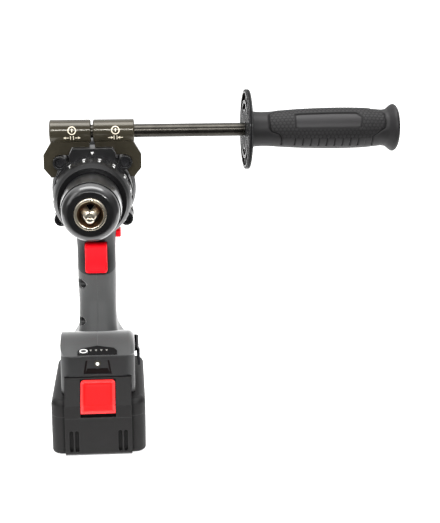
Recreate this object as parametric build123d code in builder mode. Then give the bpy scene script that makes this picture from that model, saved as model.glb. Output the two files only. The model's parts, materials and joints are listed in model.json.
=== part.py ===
from build123d import *
import os
from math import acos, cos, pi, radians, sin, tan

# Cordless hammer drill, standing on its battery. Millimetres, +Z up, chuck towards -Y.
# The origin is the middle of the battery's bottom face.

# General clearances
RUN_GAP = 0.3
SLIDE_GAP = 0.35
FIT_GAP = 0.05

# Spindle line and the lengths of what stands along it
SPINDLE_H = 206.0
NOSE_Y = -106.0
CHUCK_LENGTH = 43.5
CHUCK_GAP = 1.0
COLLAR_LENGTH = 28.5
COLLAR_GAP = 0.5
FLANGE_LENGTH = 20.5
BARREL_LENGTH = 100.0

# Chuck
SLEEVE_R = 22.3
SLEEVE_REAR_R = 21.9
SLEEVE_SHOULDER_R = 20.7
SLEEVE_FACE_R = 15.8
SLEEVE_FACE_BACK = 1.5
SLEEVE_SHOULDER_BACK = 8.0
SLEEVE_GROOVE_BACK = 9.5
SLEEVE_GROOVE_W = 1.2
SLEEVE_GROOVE_DEPTH = 0.7
SLEEVE_WIDEST_BACK = 30.0
NOSE_R = 11.3
NOSE_BORE_R = 9.4
NOSE_CONE_DEPTH = 5.0
NOSE_LENGTH = 7.0
CHUCK_BORE_R = 6.6
CHUCK_NECK_R = 13.5
CHUCK_REAR_R = 18.3
NUT_BACK = 13.0
NUT_LENGTH = 6.0
NUT_R = 15.6
NUT_GROOVE_R = 9.0
JAW_R = 3.1
JAW_TILT = 15.0
JAW_LENGTH = 28.0
JAW_TIP_OUT = 8.0
JAW_TIP_ORBIT = 1.2
JAW_MEET_GAP = 0.25
JAW_CENTRE_HOLE_R = 0.8
JAW_BEVEL_R = 3.2
JAW_TRAVEL = 21.6
JAW_ANGLES = (30.0, 150.0, 270.0)

# Spindle, chuck screw, bearing and hammer ratchets
SPINDLE_R = 6.0
SPINDLE_NECK_R = 7.0
SPINDLE_STUB = 13.5
SCREW_R = 3.0
SCREW_HEAD_R = 4.8
SCREW_HEAD_H = 4.0
SCREW_DEPTH = 16.0
BEARING_R = 14.0
BEARING_W = 8.0
BEARING_BACK = 3.5
RATCHET_R = 12.0
RATCHET_T = 4.0
RATCHET_TEETH = 13
RATCHET_TOOTH_H = 1.2
RATCHET_OPEN_GAP = 1.0
RATCHET_BACK = 0.6

# Torque collar and clutch spring
COLLAR_R = 29.8
COLLAR_FRONT_R = 25.6
COLLAR_NECK_R = 27.6
COLLAR_NECK_BACK = 4.5
COLLAR_WIDE_BACK = 15.0
COLLAR_REAR_R = 29.0
COLLAR_LIP_R = 18.4
COLLAR_LIP_T = 2.0
COLLAR_FLUTES = 16
COLLAR_FLUTE_R = 2.6
COLLAR_FLUTE_DEPTH = 1.1
COLLAR_FLUTE_FRONT = 9.0
SPRING_T = 2.8

# Gear case
NOSE_TUBE_WALL = 3.2
COLLAR_SEAT_R = 21.4
COLLAR_SEAT_L = 7.5
WEB_T = 4.5
FLANGE_R = 30.5
BOSS_R = 5.2
BOSS_TOP_X = 24.8
BOSS_TOP_Z = 24.3
BOSS_LOW_X = 25.1
BOSS_LOW_Z = -19.2
PAD_HALF_W = 15.0
PAD_TOP = 35.4
PAD_FOOT_HALF_W = 17.5
PAD_FOOT = 30.0
CASE_SPIGOT_WALL = 3.4
CASE_SCREW_R = 2.0
CASE_SCREW_HEAD_R = 3.4
CASE_SCREW_HEAD_H = 3.0
CASE_SCREW_SINK = 1.6
CASE_SCREW_L = 35.2

# Planetary gears
MODULE = 0.9
SUN_TEETH = 12
PLANET_TEETH = 15
PRESSURE_ANGLE = 20.0
ADDENDUM = 0.72
RING_ADDENDUM = 0.55
DEDENDUM = 1.0
BACKLASH = 0.24
RING_WALL = 2.6
PLANET_W = 10.0
PLANET_PIN_R = 2.0
PLANET_ANGLES = (90.0, 210.0, 330.0)
CARRIER_RIM = 4.0
CARRIER_T = 3.0
SPINDLE_FLANGE_T = 4.0
STAGE_GAP = 0.5
PLATE_T = 3.0

# Motor
SHAFT_R = 2.5
MOTOR_BEARING_R = 8.0
MOTOR_BEARING_W = 5.0
BEARING_BOSS_WALL = 2.5
STATOR_R = 26.0
STATOR_RING = 4.2
STATOR_BORE_R = 14.5
STATOR_L = 32.0
STATOR_BACK = 18.0
STATOR_TEETH = 6
STATOR_TOOTH_W = 8.0
STATOR_SHOE_T = 2.0
STATOR_SHOE_ANGLE = 48.0
COIL_T = 1.8
COIL_INSET = 0.8
AIR_GAP = 0.5
MAGNETS = 4
MAGNET_W = 13.0
MAGNET_T = 2.2
MAGNET_DEPTH = 2.6
FAN_R = 24.0
FAN_HUB_R = 7.0
FAN_W = 8.0
FAN_DISC_T = 1.6
FAN_BLADES = 11
FAN_BLADE_T = 1.4
FAN_BACK = 7.5
REAR_BEARING_BACK = 5.0

# Housing: barrel, grip and foot
BARREL_R = 33.0
BARREL_FRONT_R = 31.0
BARREL_FLARE = 6.0
BARREL_DOME = 26.0
BARREL_END_R = 20.0
COVER_T = 1.6
WALL = 2.4
TOWER_R = 5.8
TOWER_LENGTH = 16.0
FOOT_H = 61.0
FOOT_FLOOR_T = 2.5
FOOT_HALF_W = 29.5
FOOT_FRONT_Y = -40.0
FOOT_REAR_Y = 50.0
FOOT_CORNER_R = 9.0
FOOT_EDGE_R = 5.0
# Side line of the foot's top, as distance from the spindle's cross plane and height
FOOT_TOP_LINE = (
    (-42.0, 76.2),
    (-35.0, 81.1),
    (-30.0, 84.6),
    (-16.0, 88.2),
    (0.0, 85.5),
    (22.0, 78.0),
    (52.0, 67.3),
)
# Grip, each section as height, half width, front, rear, corner radius
GRIP_SECTIONS = (
    (70.0, 23.0, -14.0, 46.0, 12.0),
    (78.0, 19.0, -11.0, 44.0, 12.0),
    (84.0, 16.4, -8.5, 42.5, 11.0),
    (91.0, 15.4, -6.0, 41.5, 10.5),
    (99.0, 15.2, -4.0, 41.0, 10.5),
    (110.0, 15.2, -1.5, 40.5, 10.5),
    (SPINDLE_H - 81.0, 15.6, -1.5, 41.0, 11.0),
    (SPINDLE_H - 68.0, 15.6, -2.0, 43.5, 11.0),
    (SPINDLE_H - 54.0, 15.6, -1.0, 48.0, 11.0),
    (SPINDLE_H - 40.0, 16.2, -4.0, 56.0, 11.0),
    (SPINDLE_H - 24.0, 18.0, -9.0, 66.0, 12.0),
)
COVER_FOOT_LINE = 79.5
COVER_FOOT_FALL = 24.0
COVER_REAR_Y = 60.0
COVER_TOP = 22.0
COVER_FRONT_Y = -3.0
COVER_TRIGGER_Y = 7.0
COVER_TRIGGER_DROP = 67.8
COVER_TRIGGER_RISE = 0.51
STATOR_RIB_W = 3.0
PLATE_RIB_W = 3.0
PLATE_RIB_R = 21.0
VENT_W = 2.6
VENT_H = 18.0
VENT_PITCH = 5.2
VENTS = 3
VENT_FRONT_Y = 66.0
HOUSING_SCREW_PLACES = (
    (79.0, SPINDLE_H + 20.0),
    (79.0, SPINDLE_H - 20.0),
    (45.0, SPINDLE_H - 41.0),
    (3.2, 125.5),
    (0.2, 94.0),
    (41.5, 65.5),
)
POST_R = 5.0
HOUSING_SCREW_RECESS_GAP = 0.7
HOUSING_SCREW_R = 1.9
HOUSING_SCREW_HEAD_R = 3.3
HOUSING_SCREW_HEAD_H = 2.4
HOUSING_SCREW_SEAT_X = -7.0
HOUSING_SCREW_L = 15.0

# Trigger, switch, direction and speed selectors
TRIGGER_HALF_W = 8.9
TRIGGER_DROP = 45.2
TRIGGER_HEIGHT = 24.8
TRIGGER_FRONT_Y = -8.5
TRIGGER_REAR_Y = 6.0
TRIGGER_HOLLOW = 2.4
TRIGGER_ROUND = 2.4
TRIGGER_STEM_R = 3.0
SWITCH_HALF_W = 11.2
SWITCH_DROP = 45.5
SWITCH_HEIGHT = 23.5
SWITCH_FRONT_Y = 15.0
SWITCH_LENGTH = 19.0
SWITCH_ROUND = 1.5
SWITCH_BORE_DEPTH = 12.0
SELECTOR_DROP = 40.6
SELECTOR_Y = 15.0
SELECTOR_HEIGHT = 6.6
SELECTOR_WIDTH = 12.0
SELECTOR_OUT_X = 20.2
SELECTOR_IN_X = -14.7
SELECTOR_ROUND = 1.6
SPEED_FRONT_Y = 8.0
SPEED_LENGTH = 15.0
SPEED_HALF_W = 8.5
SPEED_TRAVEL = 9.0
SPEED_PLATE_T = 2.2
SPEED_SINK = 1.4
SPEED_STEM_HALF_W = 4.5
SPEED_STEM_L = 6.0
SPEED_STEM_H = 5.0
SPEED_RIBS = 4
SPEED_RIB_H = 0.8
SPEED_RIB_W = 1.2

# Foot fittings
LIGHT_H = 71.5
LIGHT_R = 2.0
LIGHT_OUT = 0.8
LIGHT_DEPTH = 6.0
LIGHT_RECESS_HALF_W = 11.3
LIGHT_RECESS_TOP_HALF_W = 9.4
LIGHT_RECESS_LOW = 63.0
LIGHT_RECESS_TOP = 74.6
LIGHT_RECESS_DEPTH = 1.0
GAUGE_Y = -36.1
GAUGE_H = 80.3
GAUGE_SLOPE = 35.0
GAUGE_T = 2.2
GAUGE_OUT = 0.5
GAUGE_HALF_W = 15.5
GAUGE_HALF_L = 3.2
GAUGE_PEAK = 2.4
GAUGE_CORNER = 2.5
GAUGE_BUTTON_X = -10.8
GAUGE_BUTTON_L = 7.0
GAUGE_BUTTON_W = 4.0
GAUGE_BUTTON_OUT = 0.7
GAUGE_BUTTON_T = 2.6
RAIL_BOTTOM = 45.6
RAIL_LIP_TOP = 50.0
RAIL_SLOT_HALF_W = 26.6
RAIL_NECK_HALF_W = 22.5
FOOT_END_WALL = 3.0
TERMINAL_HALF_W = 17.0
TERMINAL_FRONT_Y = 8.0
TERMINAL_REAR_Y = 35.0
TERMINAL_TOP = 68.5
BLADE_XS = (-11.0, 0.0, 11.0)
BLADE_T = 1.0
BLADE_FRONT_Y = 14.0
BLADE_LENGTH = 16.0
BLADE_BOTTOM = 49.5
BOARD_HALF_W = 19.0
BOARD_FRONT_Y = -32.0
BOARD_REAR_Y = 3.0
BOARD_T = 1.6
BOARD_HEAT_SINK_H = 5.0
CLIP_T = 1.7
CLIP_LOW = 57.5
CLIP_WIDTH = 14.0
CLIP_BEND_R = 1.8
CLIP_START_Y = 6.0
CLIP_BEND_Y = 27.0
CLIP_END_Y = -2.0
CLIP_FLARE_L = 5.0
CLIP_FLARE = 0.8
CLIP_SCREW_Y = 18.0
CLIP_SCREW_R = 2.0
CLIP_SCREW_HEAD_R = 3.8
CLIP_SCREW_HEAD_H = 1.5
CLIP_SCREW_L = 9.0
CLIP_BOSS_R = 4.5
CLIP_BOSS_L = 7.5
CLIP_HOLE_R = 1.65

# Battery
BATTERY_WIDTH = 74.5
BATTERY_FRONT_Y = -53.9
BATTERY_LENGTH = 107.8
BATTERY_SIDE_BACK = 3.9
BATTERY_PANEL_HALF_W = 26.3
BATTERY_CORNER_R = 9.0
BATTERY_BOTTOM_ROUND = 2.0
BATTERY_SEAM_H = 31.5
BATTERY_SHOULDER_H = 45.0
BATTERY_SHOULDER_ROUND = 5.0
BATTERY_WALL = 2.4
BATTERY_FLOOR = 2.6
BATTERY_TOP_H = 60.6
BATTERY_SLOPE_H = 42.0
BATTERY_SLOPE_BACK = 12.8
BATTERY_REAR_GAP = 1.0
BATTERY_SLOT_XS = (17.0, 21.4)
BATTERY_SLOT_W = 3.2
BATTERY_SLOT_LOW = 3.4
BATTERY_SLOT_TOP = 21.3
BATTERY_SLOT_DEPTH = 2.0
BATTERY_SCREW_FRONT_X = 19.2
BATTERY_SCREW_REAR_X = 28.0
BATTERY_SCREW_INSET = 4.6
BATTERY_SCREW_R = 1.0
BATTERY_SCREW_HEAD_R = 1.8
BATTERY_SCREW_HEAD_H = 1.6
BATTERY_SCREW_L = 17.0
BATTERY_SCREW_SINK = 20.0
BATTERY_POST_R = 2.7
BUTTON_HALF_W = 13.6
BUTTON_LOW = 35.7
BUTTON_TOP = 59.2
BUTTON_OUT = 1.0
BUTTON_REAR_Y = -41.6
BUTTON_ROUND = 1.6
BUTTON_PAD_INSET = 2.2
BUTTON_PAD_DEPTH = 0.9
BUTTON_TRAVEL = 3.0
BUTTON_STEP_H = 44.0
BUTTON_FOOT_REAR_Y = -50.0
CELL_R = 9.1
CELL_L = 65.2
CELL_PITCH = 18.5
CELL_COLUMNS = 5
CELL_ROWS = 2
CELL_CENTRE_Y = 0.4
STRAP_T = 0.4
STRAP_INSET = 2.0
PACK_BOARD_HALF_W = 17.0
PACK_BOARD_FRONT_Y = -24.0
PACK_BOARD_REAR_Y = 38.0
HEAD_WALL = 2.6
BLADE_SLOT_W = 3.0
BLADE_SLOT_LEAD = 4.0
LEAF_T = 0.5
LEAF_GAP = 0.25
LEAF_L = 10.0
LEAF_TOP = 56.0

# Side handle
ROD_Y = -21.6
ROD_RISE = 47.3
ROD_R = 5.1
ROD_LEFT_X = -30.0
CLAW_R = 9.0
CLAW_SLIT = 0.8
CLAW_END_X = 32.2
CLAW_DEPTH = 10.0
CLAW_OUTER_X = 37.3
CLAW_OUTER_LOW = 19.5
CLAW_OUTER_TOP = 30.0
CLAW_TIP_X = 31.6
CLAW_TIP_Z = 12.4
CLAW_POINT_X = 28.4
CLAW_POINT_Z = 13.2
CLAW_NECK_Z = 40.5
CLAW_HOOK_GAP = 0.35
CLAW_ROUND = 1.2
GUARD_X = 117.0
GUARD_R = 30.6
GUARD_T = 3.6
GUARD_WEB_T = 1.2
GUARD_RIM = 2.4
GUARD_HUB_R = 15.2
GUARD_RING_R = 21.2
GUARD_RING_W = 2.0
GUARD_RIBS = 8
GUARD_RIB_W = 1.4
GUARD_RIB_SINK = 0.8
GRIP_NECK_X = 131.0
GRIP_NECK_R = 13.2
# Grip barrel between its neck and its waist, as station and radius
GRIP_BARREL = (
    (160.0, 15.0),
    (190.0, 15.7),
    (212.0, 15.1),
)
GRIP_WAIST_X = 225.0
GRIP_WAIST_R = 14.1
GRIP_FLARE_X = 232.3
GRIP_FLARE_R = 18.2
GRIP_BULB_X = 234.4
GRIP_BULB_R = 17.2
GRIP_END_X = 235.5
GRIP_END_R = 13.6
GRIP_ROOT_R = 14.5
GRIP_ROD_X = 178.0
CORE_R = 9.8
CORE_END_X = 230.0

# Places that follow from the sizes above
CHUCK_REAR_Y = NOSE_Y + CHUCK_LENGTH
COLLAR_FRONT_Y = CHUCK_REAR_Y + CHUCK_GAP
COLLAR_REAR_Y = COLLAR_FRONT_Y + COLLAR_LENGTH
FLANGE_FRONT_Y = COLLAR_REAR_Y + COLLAR_GAP
FLANGE_REAR_Y = FLANGE_FRONT_Y + FLANGE_LENGTH
BARREL_REAR_Y = FLANGE_REAR_Y + BARREL_LENGTH
WEB_REAR_Y = FLANGE_FRONT_Y + WEB_T
SPINDLE_FLANGE_REAR_Y = WEB_REAR_Y + STAGE_GAP + SPINDLE_FLANGE_T
SECOND_REAR_Y = SPINDLE_FLANGE_REAR_Y + STAGE_GAP + PLANET_W
CARRIER_REAR_Y = SECOND_REAR_Y + STAGE_GAP + CARRIER_T
FIRST_REAR_Y = CARRIER_REAR_Y + STAGE_GAP + PLANET_W
PLATE_FRONT_Y = FIRST_REAR_Y + STAGE_GAP
PLATE_REAR_Y = PLATE_FRONT_Y + PLATE_T
FRONT_BEARING_Y = PLATE_REAR_Y
STATOR_FRONT_Y = PLATE_REAR_Y + STATOR_BACK
STATOR_REAR_Y = STATOR_FRONT_Y + STATOR_L
FAN_FRONT_Y = STATOR_REAR_Y + FAN_BACK
FAN_REAR_Y = FAN_FRONT_Y + FAN_W
REAR_BEARING_Y = FAN_REAR_Y + REAR_BEARING_BACK
SHAFT_REAR_Y = REAR_BEARING_Y + MOTOR_BEARING_W
NOSE_TUBE_FRONT_Y = COLLAR_FRONT_Y + COLLAR_LIP_T + RUN_GAP
SPINDLE_BEARING_Y = NOSE_TUBE_FRONT_Y + BEARING_BACK
RATCHET_FRONT_Y = SPINDLE_BEARING_Y + BEARING_W + RATCHET_BACK
RATCHET_FACE_Y = RATCHET_FRONT_Y + RATCHET_T + RATCHET_TOOTH_H
FIXED_FACE_Y = RATCHET_FACE_Y + RATCHET_OPEN_GAP
FIXED_REAR_Y = FIXED_FACE_Y + RATCHET_TOOTH_H + RATCHET_T
RING_TEETH = SUN_TEETH + 2 * PLANET_TEETH
PLANET_ORBIT = MODULE * (SUN_TEETH + PLANET_TEETH) / 2
RING_TIP_R = MODULE * RING_TEETH / 2 - RING_ADDENDUM
RING_ROOT_R = MODULE * RING_TEETH / 2 + DEDENDUM
RING_R = RING_ROOT_R + RING_WALL
CASE_SPIGOT_R = RING_R + CASE_SPIGOT_WALL
NOSE_TUBE_R = BEARING_R + NOSE_TUBE_WALL
NUT_FRONT_Y = NOSE_Y + NUT_BACK
NUT_REAR_Y = NUT_FRONT_Y + NUT_LENGTH
JAW_TIP_Y = NOSE_Y - JAW_TIP_OUT
ROD_H = SPINDLE_H + ROD_RISE
TRIGGER_TOP = SPINDLE_H - TRIGGER_DROP
TRIGGER_LOW = TRIGGER_TOP - TRIGGER_HEIGHT
SWITCH_TOP = SPINDLE_H - SWITCH_DROP
SWITCH_LOW = SWITCH_TOP - SWITCH_HEIGHT
SELECTOR_H = SPINDLE_H - SELECTOR_DROP
COVER_TRIGGER_H = SPINDLE_H - COVER_TRIGGER_DROP
BATTERY_REAR_Y = BATTERY_FRONT_Y + BATTERY_LENGTH
BATTERY_SIDE_Y = BATTERY_FRONT_Y + BATTERY_SIDE_BACK
HEAD_REAR_Y = FOOT_REAR_Y - FOOT_END_WALL - BATTERY_REAR_GAP
CELL_LOW_H = BATTERY_FLOOR + RUN_GAP + CELL_R
PACK_BOARD_H = CELL_LOW_H + (CELL_ROWS - 1) * CELL_PITCH + CELL_R + RUN_GAP

# Working planes and axes
SPINDLE_AXIS = Axis((0, 0, SPINDLE_H), (0, 1, 0))
SPINDLE_SIDE = Plane((0, 0, SPINDLE_H), x_dir=(0, 1, 0), z_dir=(1, 0, 0))
SIDE = Plane((0, 0, 0), x_dir=(0, 1, 0), z_dir=(1, 0, 0))
ROD_AXIS = Axis((0, ROD_Y, ROD_H), (1, 0, 0))
ROD_SIDE = Plane((0, ROD_Y, ROD_H), x_dir=(1, 0, 0), z_dir=(0, -1, 0))
GAUGE_PLANE = Plane(
    (0, GAUGE_Y, GAUGE_H),
    x_dir=(1, 0, 0),
    z_dir=(0, -sin(radians(GAUGE_SLOPE)), cos(radians(GAUGE_SLOPE))),
).offset(GAUGE_OUT - GAUGE_T)

os.makedirs("parts", exist_ok=True)


def front_plane(y):
    """Plane across the spindle, with X to the right, Z up and its normal forwards."""
    return Plane((0, y, SPINDLE_H), x_dir=(1, 0, 0), z_dir=(0, -1, 0))


def rod_plane(x):
    """Plane across the side handle's rod, with its normal to the right."""
    return Plane((x, ROD_Y, ROD_H), x_dir=(0, 1, 0), z_dir=(1, 0, 0))


def jaw_orbit(y):
    """Radius of a closed jaw's axis at a station along the spindle."""
    return JAW_TIP_ORBIT + (y - JAW_TIP_Y) * tan(radians(JAW_TILT))


def jaw_plane(angle, y):
    """Plane across a jaw at a station, with its normal rearwards along the jaw."""
    turn = radians(angle)
    orbit = jaw_orbit(y)
    tilt = radians(JAW_TILT)
    return Plane(
        (orbit * cos(turn), y, SPINDLE_H + orbit * sin(turn)),
        x_dir=(-sin(turn), 0, cos(turn)),
        z_dir=(sin(tilt) * cos(turn), cos(tilt), sin(tilt) * sin(turn)),
    )


def involute(angle):
    return tan(angle) - angle


def tooth_half_angle(teeth, radius, backlash):
    """Half of the angle that one tooth takes up at a radius."""
    pitch_r = MODULE * teeth / 2
    base_r = pitch_r * cos(radians(PRESSURE_ANGLE))
    pressure = acos(base_r / max(radius, base_r))
    at_pitch = pi / (2 * teeth) - backlash / (2 * pitch_r)
    return at_pitch + involute(radians(PRESSURE_ANGLE)) - involute(pressure)


def gear_outline(teeth, tip_r, root_r, backlash, first_angle, middle=(0, 0)):
    """Corner points of a gear whose first tooth points at first_angle."""
    pitch_r = MODULE * teeth / 2
    flank = (root_r, pitch_r, tip_r)
    points = []
    for tooth in range(teeth):
        centre = radians(first_angle) + 2 * pi * tooth / teeth
        rising = [(radius, -1) for radius in flank]
        falling = [(radius, 1) for radius in reversed(flank)]
        for radius, side in rising + falling:
            angle = centre + side * tooth_half_angle(teeth, radius, backlash)
            points.append((middle[0] + radius * cos(angle), middle[1] + radius * sin(angle)))
    return points


def sun_outline():
    pitch_r = MODULE * SUN_TEETH / 2
    return gear_outline(
        SUN_TEETH, pitch_r + ADDENDUM, pitch_r - DEDENDUM, BACKLASH / 2, PLANET_ANGLES[0]
    )


def planet_centre(angle):
    return (PLANET_ORBIT * cos(radians(angle)), PLANET_ORBIT * sin(radians(angle)))


def planet_outline(angle):
    pitch_r = MODULE * PLANET_TEETH / 2
    return gear_outline(
        PLANET_TEETH, pitch_r + ADDENDUM, pitch_r - DEDENDUM, BACKLASH / 2, angle, planet_centre(angle)
    )


def save(builder, name):
    """Label a finished piece and write it to its own file."""
    builder.part.label = name
    export_step(builder.part, "parts/" + name + ".step")


# Chuck body: nose ring, nut groove and rear block, with three slanted jaw bores
with BuildPart() as chuck_body:
    with BuildSketch(SPINDLE_SIDE):
        with BuildLine():
            Polyline(
                (NOSE_Y, NOSE_BORE_R),
                (NOSE_Y, NOSE_R),
                (NOSE_Y + NOSE_LENGTH, NOSE_R),
                (NOSE_Y + NOSE_LENGTH, CHUCK_NECK_R),
                (NUT_FRONT_Y - RUN_GAP, CHUCK_NECK_R),
                (NUT_FRONT_Y - RUN_GAP, NUT_GROOVE_R),
                (NUT_REAR_Y + RUN_GAP, NUT_GROOVE_R),
                (NUT_REAR_Y + RUN_GAP, CHUCK_REAR_R),
                (CHUCK_REAR_Y, CHUCK_REAR_R),
                (CHUCK_REAR_Y, SPINDLE_R),
                (CHUCK_REAR_Y - SPINDLE_STUB, SPINDLE_R),
                (CHUCK_REAR_Y - SPINDLE_STUB, CHUCK_BORE_R),
                (NOSE_Y + NOSE_CONE_DEPTH, CHUCK_BORE_R),
                close=True,
            )
        make_face()
    revolve(axis=SPINDLE_AXIS)
    for angle in JAW_ANGLES:
        with BuildSketch(jaw_plane(angle, JAW_TIP_Y)):
            Circle(JAW_R + SLIDE_GAP / 2)
        extrude(amount=JAW_LENGTH + JAW_TRAVEL + 2 * RUN_GAP, mode=Mode.SUBTRACT)
save(chuck_body, "chuck_body")

# Chuck sleeve: the turned outer shell that the hand grips
with BuildPart() as chuck_sleeve:
    with BuildSketch(SPINDLE_SIDE):
        face_y = NOSE_Y + SLEEVE_FACE_BACK
        shoulder_y = NOSE_Y + SLEEVE_SHOULDER_BACK
        groove_y = NOSE_Y + SLEEVE_GROOVE_BACK
        groove_r = SLEEVE_SHOULDER_R - SLEEVE_GROOVE_DEPTH
        rear_y = CHUCK_REAR_Y - RUN_GAP
        with BuildLine():
            Line((face_y, NOSE_R + RUN_GAP), (face_y, SLEEVE_FACE_R))
            Spline(
                (face_y, SLEEVE_FACE_R),
                (shoulder_y, SLEEVE_SHOULDER_R),
                tangents=((0.35, 1), (1, 0.12)),
            )
            Polyline(
                (shoulder_y, SLEEVE_SHOULDER_R),
                (groove_y, SLEEVE_SHOULDER_R),
                (groove_y, groove_r),
                (groove_y + SLEEVE_GROOVE_W, groove_r),
                (groove_y + SLEEVE_GROOVE_W, SLEEVE_SHOULDER_R + SLEEVE_GROOVE_DEPTH),
            )
            Spline(
                (groove_y + SLEEVE_GROOVE_W, SLEEVE_SHOULDER_R + SLEEVE_GROOVE_DEPTH),
                (NOSE_Y + SLEEVE_WIDEST_BACK, SLEEVE_R),
                (rear_y, SLEEVE_REAR_R),
            )
            Polyline(
                (rear_y, SLEEVE_REAR_R),
                (rear_y, CHUCK_REAR_R + RUN_GAP),
                (NUT_REAR_Y, CHUCK_REAR_R + RUN_GAP),
                (NUT_REAR_Y, NUT_R),
                (NUT_FRONT_Y, NUT_R),
                (NUT_FRONT_Y, CHUCK_NECK_R + RUN_GAP),
                (NOSE_Y + NOSE_LENGTH - RUN_GAP, CHUCK_NECK_R + RUN_GAP),
                (NOSE_Y + NOSE_LENGTH - RUN_GAP, NOSE_R + RUN_GAP),
                (face_y, NOSE_R + RUN_GAP),
            )
        make_face()
    revolve(axis=SPINDLE_AXIS)
save(chuck_sleeve, "chuck_sleeve")

# Chuck nut: cone-bored ring that drives the jaws
with BuildPart() as chuck_nut:
    with BuildSketch(SPINDLE_SIDE):
        jaw_reach = JAW_R / cos(radians(JAW_TILT)) + RUN_GAP
        with BuildLine():
            Polyline(
                (NUT_FRONT_Y, jaw_orbit(NUT_FRONT_Y) + jaw_reach),
                (NUT_FRONT_Y, NUT_R),
                (NUT_REAR_Y, NUT_R),
                (NUT_REAR_Y, jaw_orbit(NUT_REAR_Y) + jaw_reach),
                close=True,
            )
        make_face()
    revolve(axis=SPINDLE_AXIS)
save(chuck_nut, "chuck_nut")

# Jaws: slanted pins whose faces meet on the spindle axis
for number, angle in enumerate(JAW_ANGLES, start=1):
    with BuildPart() as jaw:
        with BuildSketch(jaw_plane(angle, JAW_TIP_Y - JAW_R)):
            Circle(JAW_R)
        extrude(amount=JAW_LENGTH + JAW_R / cos(radians(JAW_TILT)))
        sector = Plane(
            (0, JAW_TIP_Y, SPINDLE_H),
            x_dir=(cos(radians(angle)), 0, sin(radians(angle))),
            z_dir=(0, 1, 0),
        )
        with BuildSketch(sector):
            with BuildLine():
                apex = JAW_MEET_GAP / 2 / sin(radians(60))
                reach = JAW_LENGTH
                Polyline(
                    (apex, 0),
                    (apex + reach * cos(radians(60)), reach * sin(radians(60))),
                    (apex + reach, 0),
                    (apex + reach * cos(radians(60)), -reach * sin(radians(60))),
                    close=True,
                )
            make_face()
            Circle(JAW_CENTRE_HOLE_R, mode=Mode.SUBTRACT)
        extrude(amount=JAW_LENGTH, mode=Mode.INTERSECT)
        with BuildSketch(SPINDLE_SIDE):
            with BuildLine():
                Polyline(
                    (JAW_TIP_Y, JAW_BEVEL_R),
                    (JAW_TIP_Y, JAW_BEVEL_R + JAW_R),
                    (JAW_TIP_Y + JAW_R, JAW_BEVEL_R + JAW_R),
                    close=True,
                )
            make_face()
        revolve(axis=SPINDLE_AXIS, mode=Mode.SUBTRACT)
    save(jaw, f"chuck_jaw_{number}")

# Spindle: chuck seat, bearing journal and the second planet carrier
with BuildPart() as spindle:
    stub_y = CHUCK_REAR_Y - SPINDLE_STUB
    spindle_flange_y = SPINDLE_FLANGE_REAR_Y - SPINDLE_FLANGE_T
    carrier_r = PLANET_ORBIT + CARRIER_RIM
    with BuildSketch(SPINDLE_SIDE):
        with BuildLine():
            Polyline(
                (stub_y, SCREW_R),
                (stub_y, SPINDLE_R),
                (FIXED_FACE_Y, SPINDLE_R),
                (FIXED_FACE_Y, SPINDLE_NECK_R),
                (spindle_flange_y, SPINDLE_NECK_R),
                (spindle_flange_y, carrier_r),
                (SPINDLE_FLANGE_REAR_Y, carrier_r),
                (SPINDLE_FLANGE_REAR_Y, 0),
                (stub_y + SCREW_DEPTH, 0),
                (stub_y + SCREW_DEPTH, SCREW_R),
                close=True,
            )
        make_face()
    revolve(axis=SPINDLE_AXIS)
    with BuildSketch(front_plane(SECOND_REAR_Y)):
        for angle in PLANET_ANGLES:
            with Locations(planet_centre(angle)):
                Circle(PLANET_PIN_R)
    extrude(amount=SECOND_REAR_Y - SPINDLE_FLANGE_REAR_Y)
save(spindle, "spindle")

# Chuck screw: holds the chuck on the spindle from inside
with BuildPart() as chuck_screw:
    with BuildSketch(front_plane(stub_y + SCREW_DEPTH)):
        Circle(SCREW_R)
    extrude(amount=SCREW_DEPTH)
    with BuildSketch(front_plane(stub_y)):
        Circle(SCREW_HEAD_R)
    extrude(amount=SCREW_HEAD_H)
    with BuildSketch(front_plane(stub_y - SCREW_HEAD_H)):
        RegularPolygon(SCREW_R, 6)
    extrude(amount=-SCREW_HEAD_H / 2, mode=Mode.SUBTRACT)
    chamfer(chuck_screw.edges().filter_by(GeomType.CIRCLE).group_by(Axis.Y)[0], SCREW_HEAD_H / 8)
save(chuck_screw, "chuck_screw")

# Front bearing of the spindle: a sealed ring with a shallow shield on each face
with BuildPart() as front_bearing:
    with BuildSketch(SPINDLE_SIDE):
        race = (BEARING_R - SPINDLE_R) / 4
        rear_y = SPINDLE_BEARING_Y + BEARING_W
        with BuildLine():
            Polyline(
                (SPINDLE_BEARING_Y, SPINDLE_R + FIT_GAP),
                (SPINDLE_BEARING_Y, SPINDLE_R + race),
                (SPINDLE_BEARING_Y + FIT_GAP * 8, SPINDLE_R + race),
                (SPINDLE_BEARING_Y + FIT_GAP * 8, BEARING_R - race),
                (SPINDLE_BEARING_Y, BEARING_R - race),
                (SPINDLE_BEARING_Y, BEARING_R),
                (rear_y, BEARING_R),
                (rear_y, BEARING_R - race),
                (rear_y - FIT_GAP * 8, BEARING_R - race),
                (rear_y - FIT_GAP * 8, SPINDLE_R + race),
                (rear_y, SPINDLE_R + race),
                (rear_y, SPINDLE_R + FIT_GAP),
                close=True,
            )
        make_face()
    revolve(axis=SPINDLE_AXIS)
save(front_bearing, "front_bearing")


def ratchet_slots(face_y, bore_r):
    """Wedge gaps between the teeth on a ratchet's face, as one sketch of sectors."""
    half = 90.0 / RATCHET_TEETH
    outer = 2 * RATCHET_R
    with BuildSketch(front_plane(face_y), mode=Mode.PRIVATE) as gaps:
        with PolarLocations(0, RATCHET_TEETH):
            Polygon(
                (bore_r / 2, 0),
                (outer * cos(radians(half)), -outer * sin(radians(half))),
                (outer * cos(radians(half)), outer * sin(radians(half))),
                align=None,
            )
    return gaps.sketch


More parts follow.
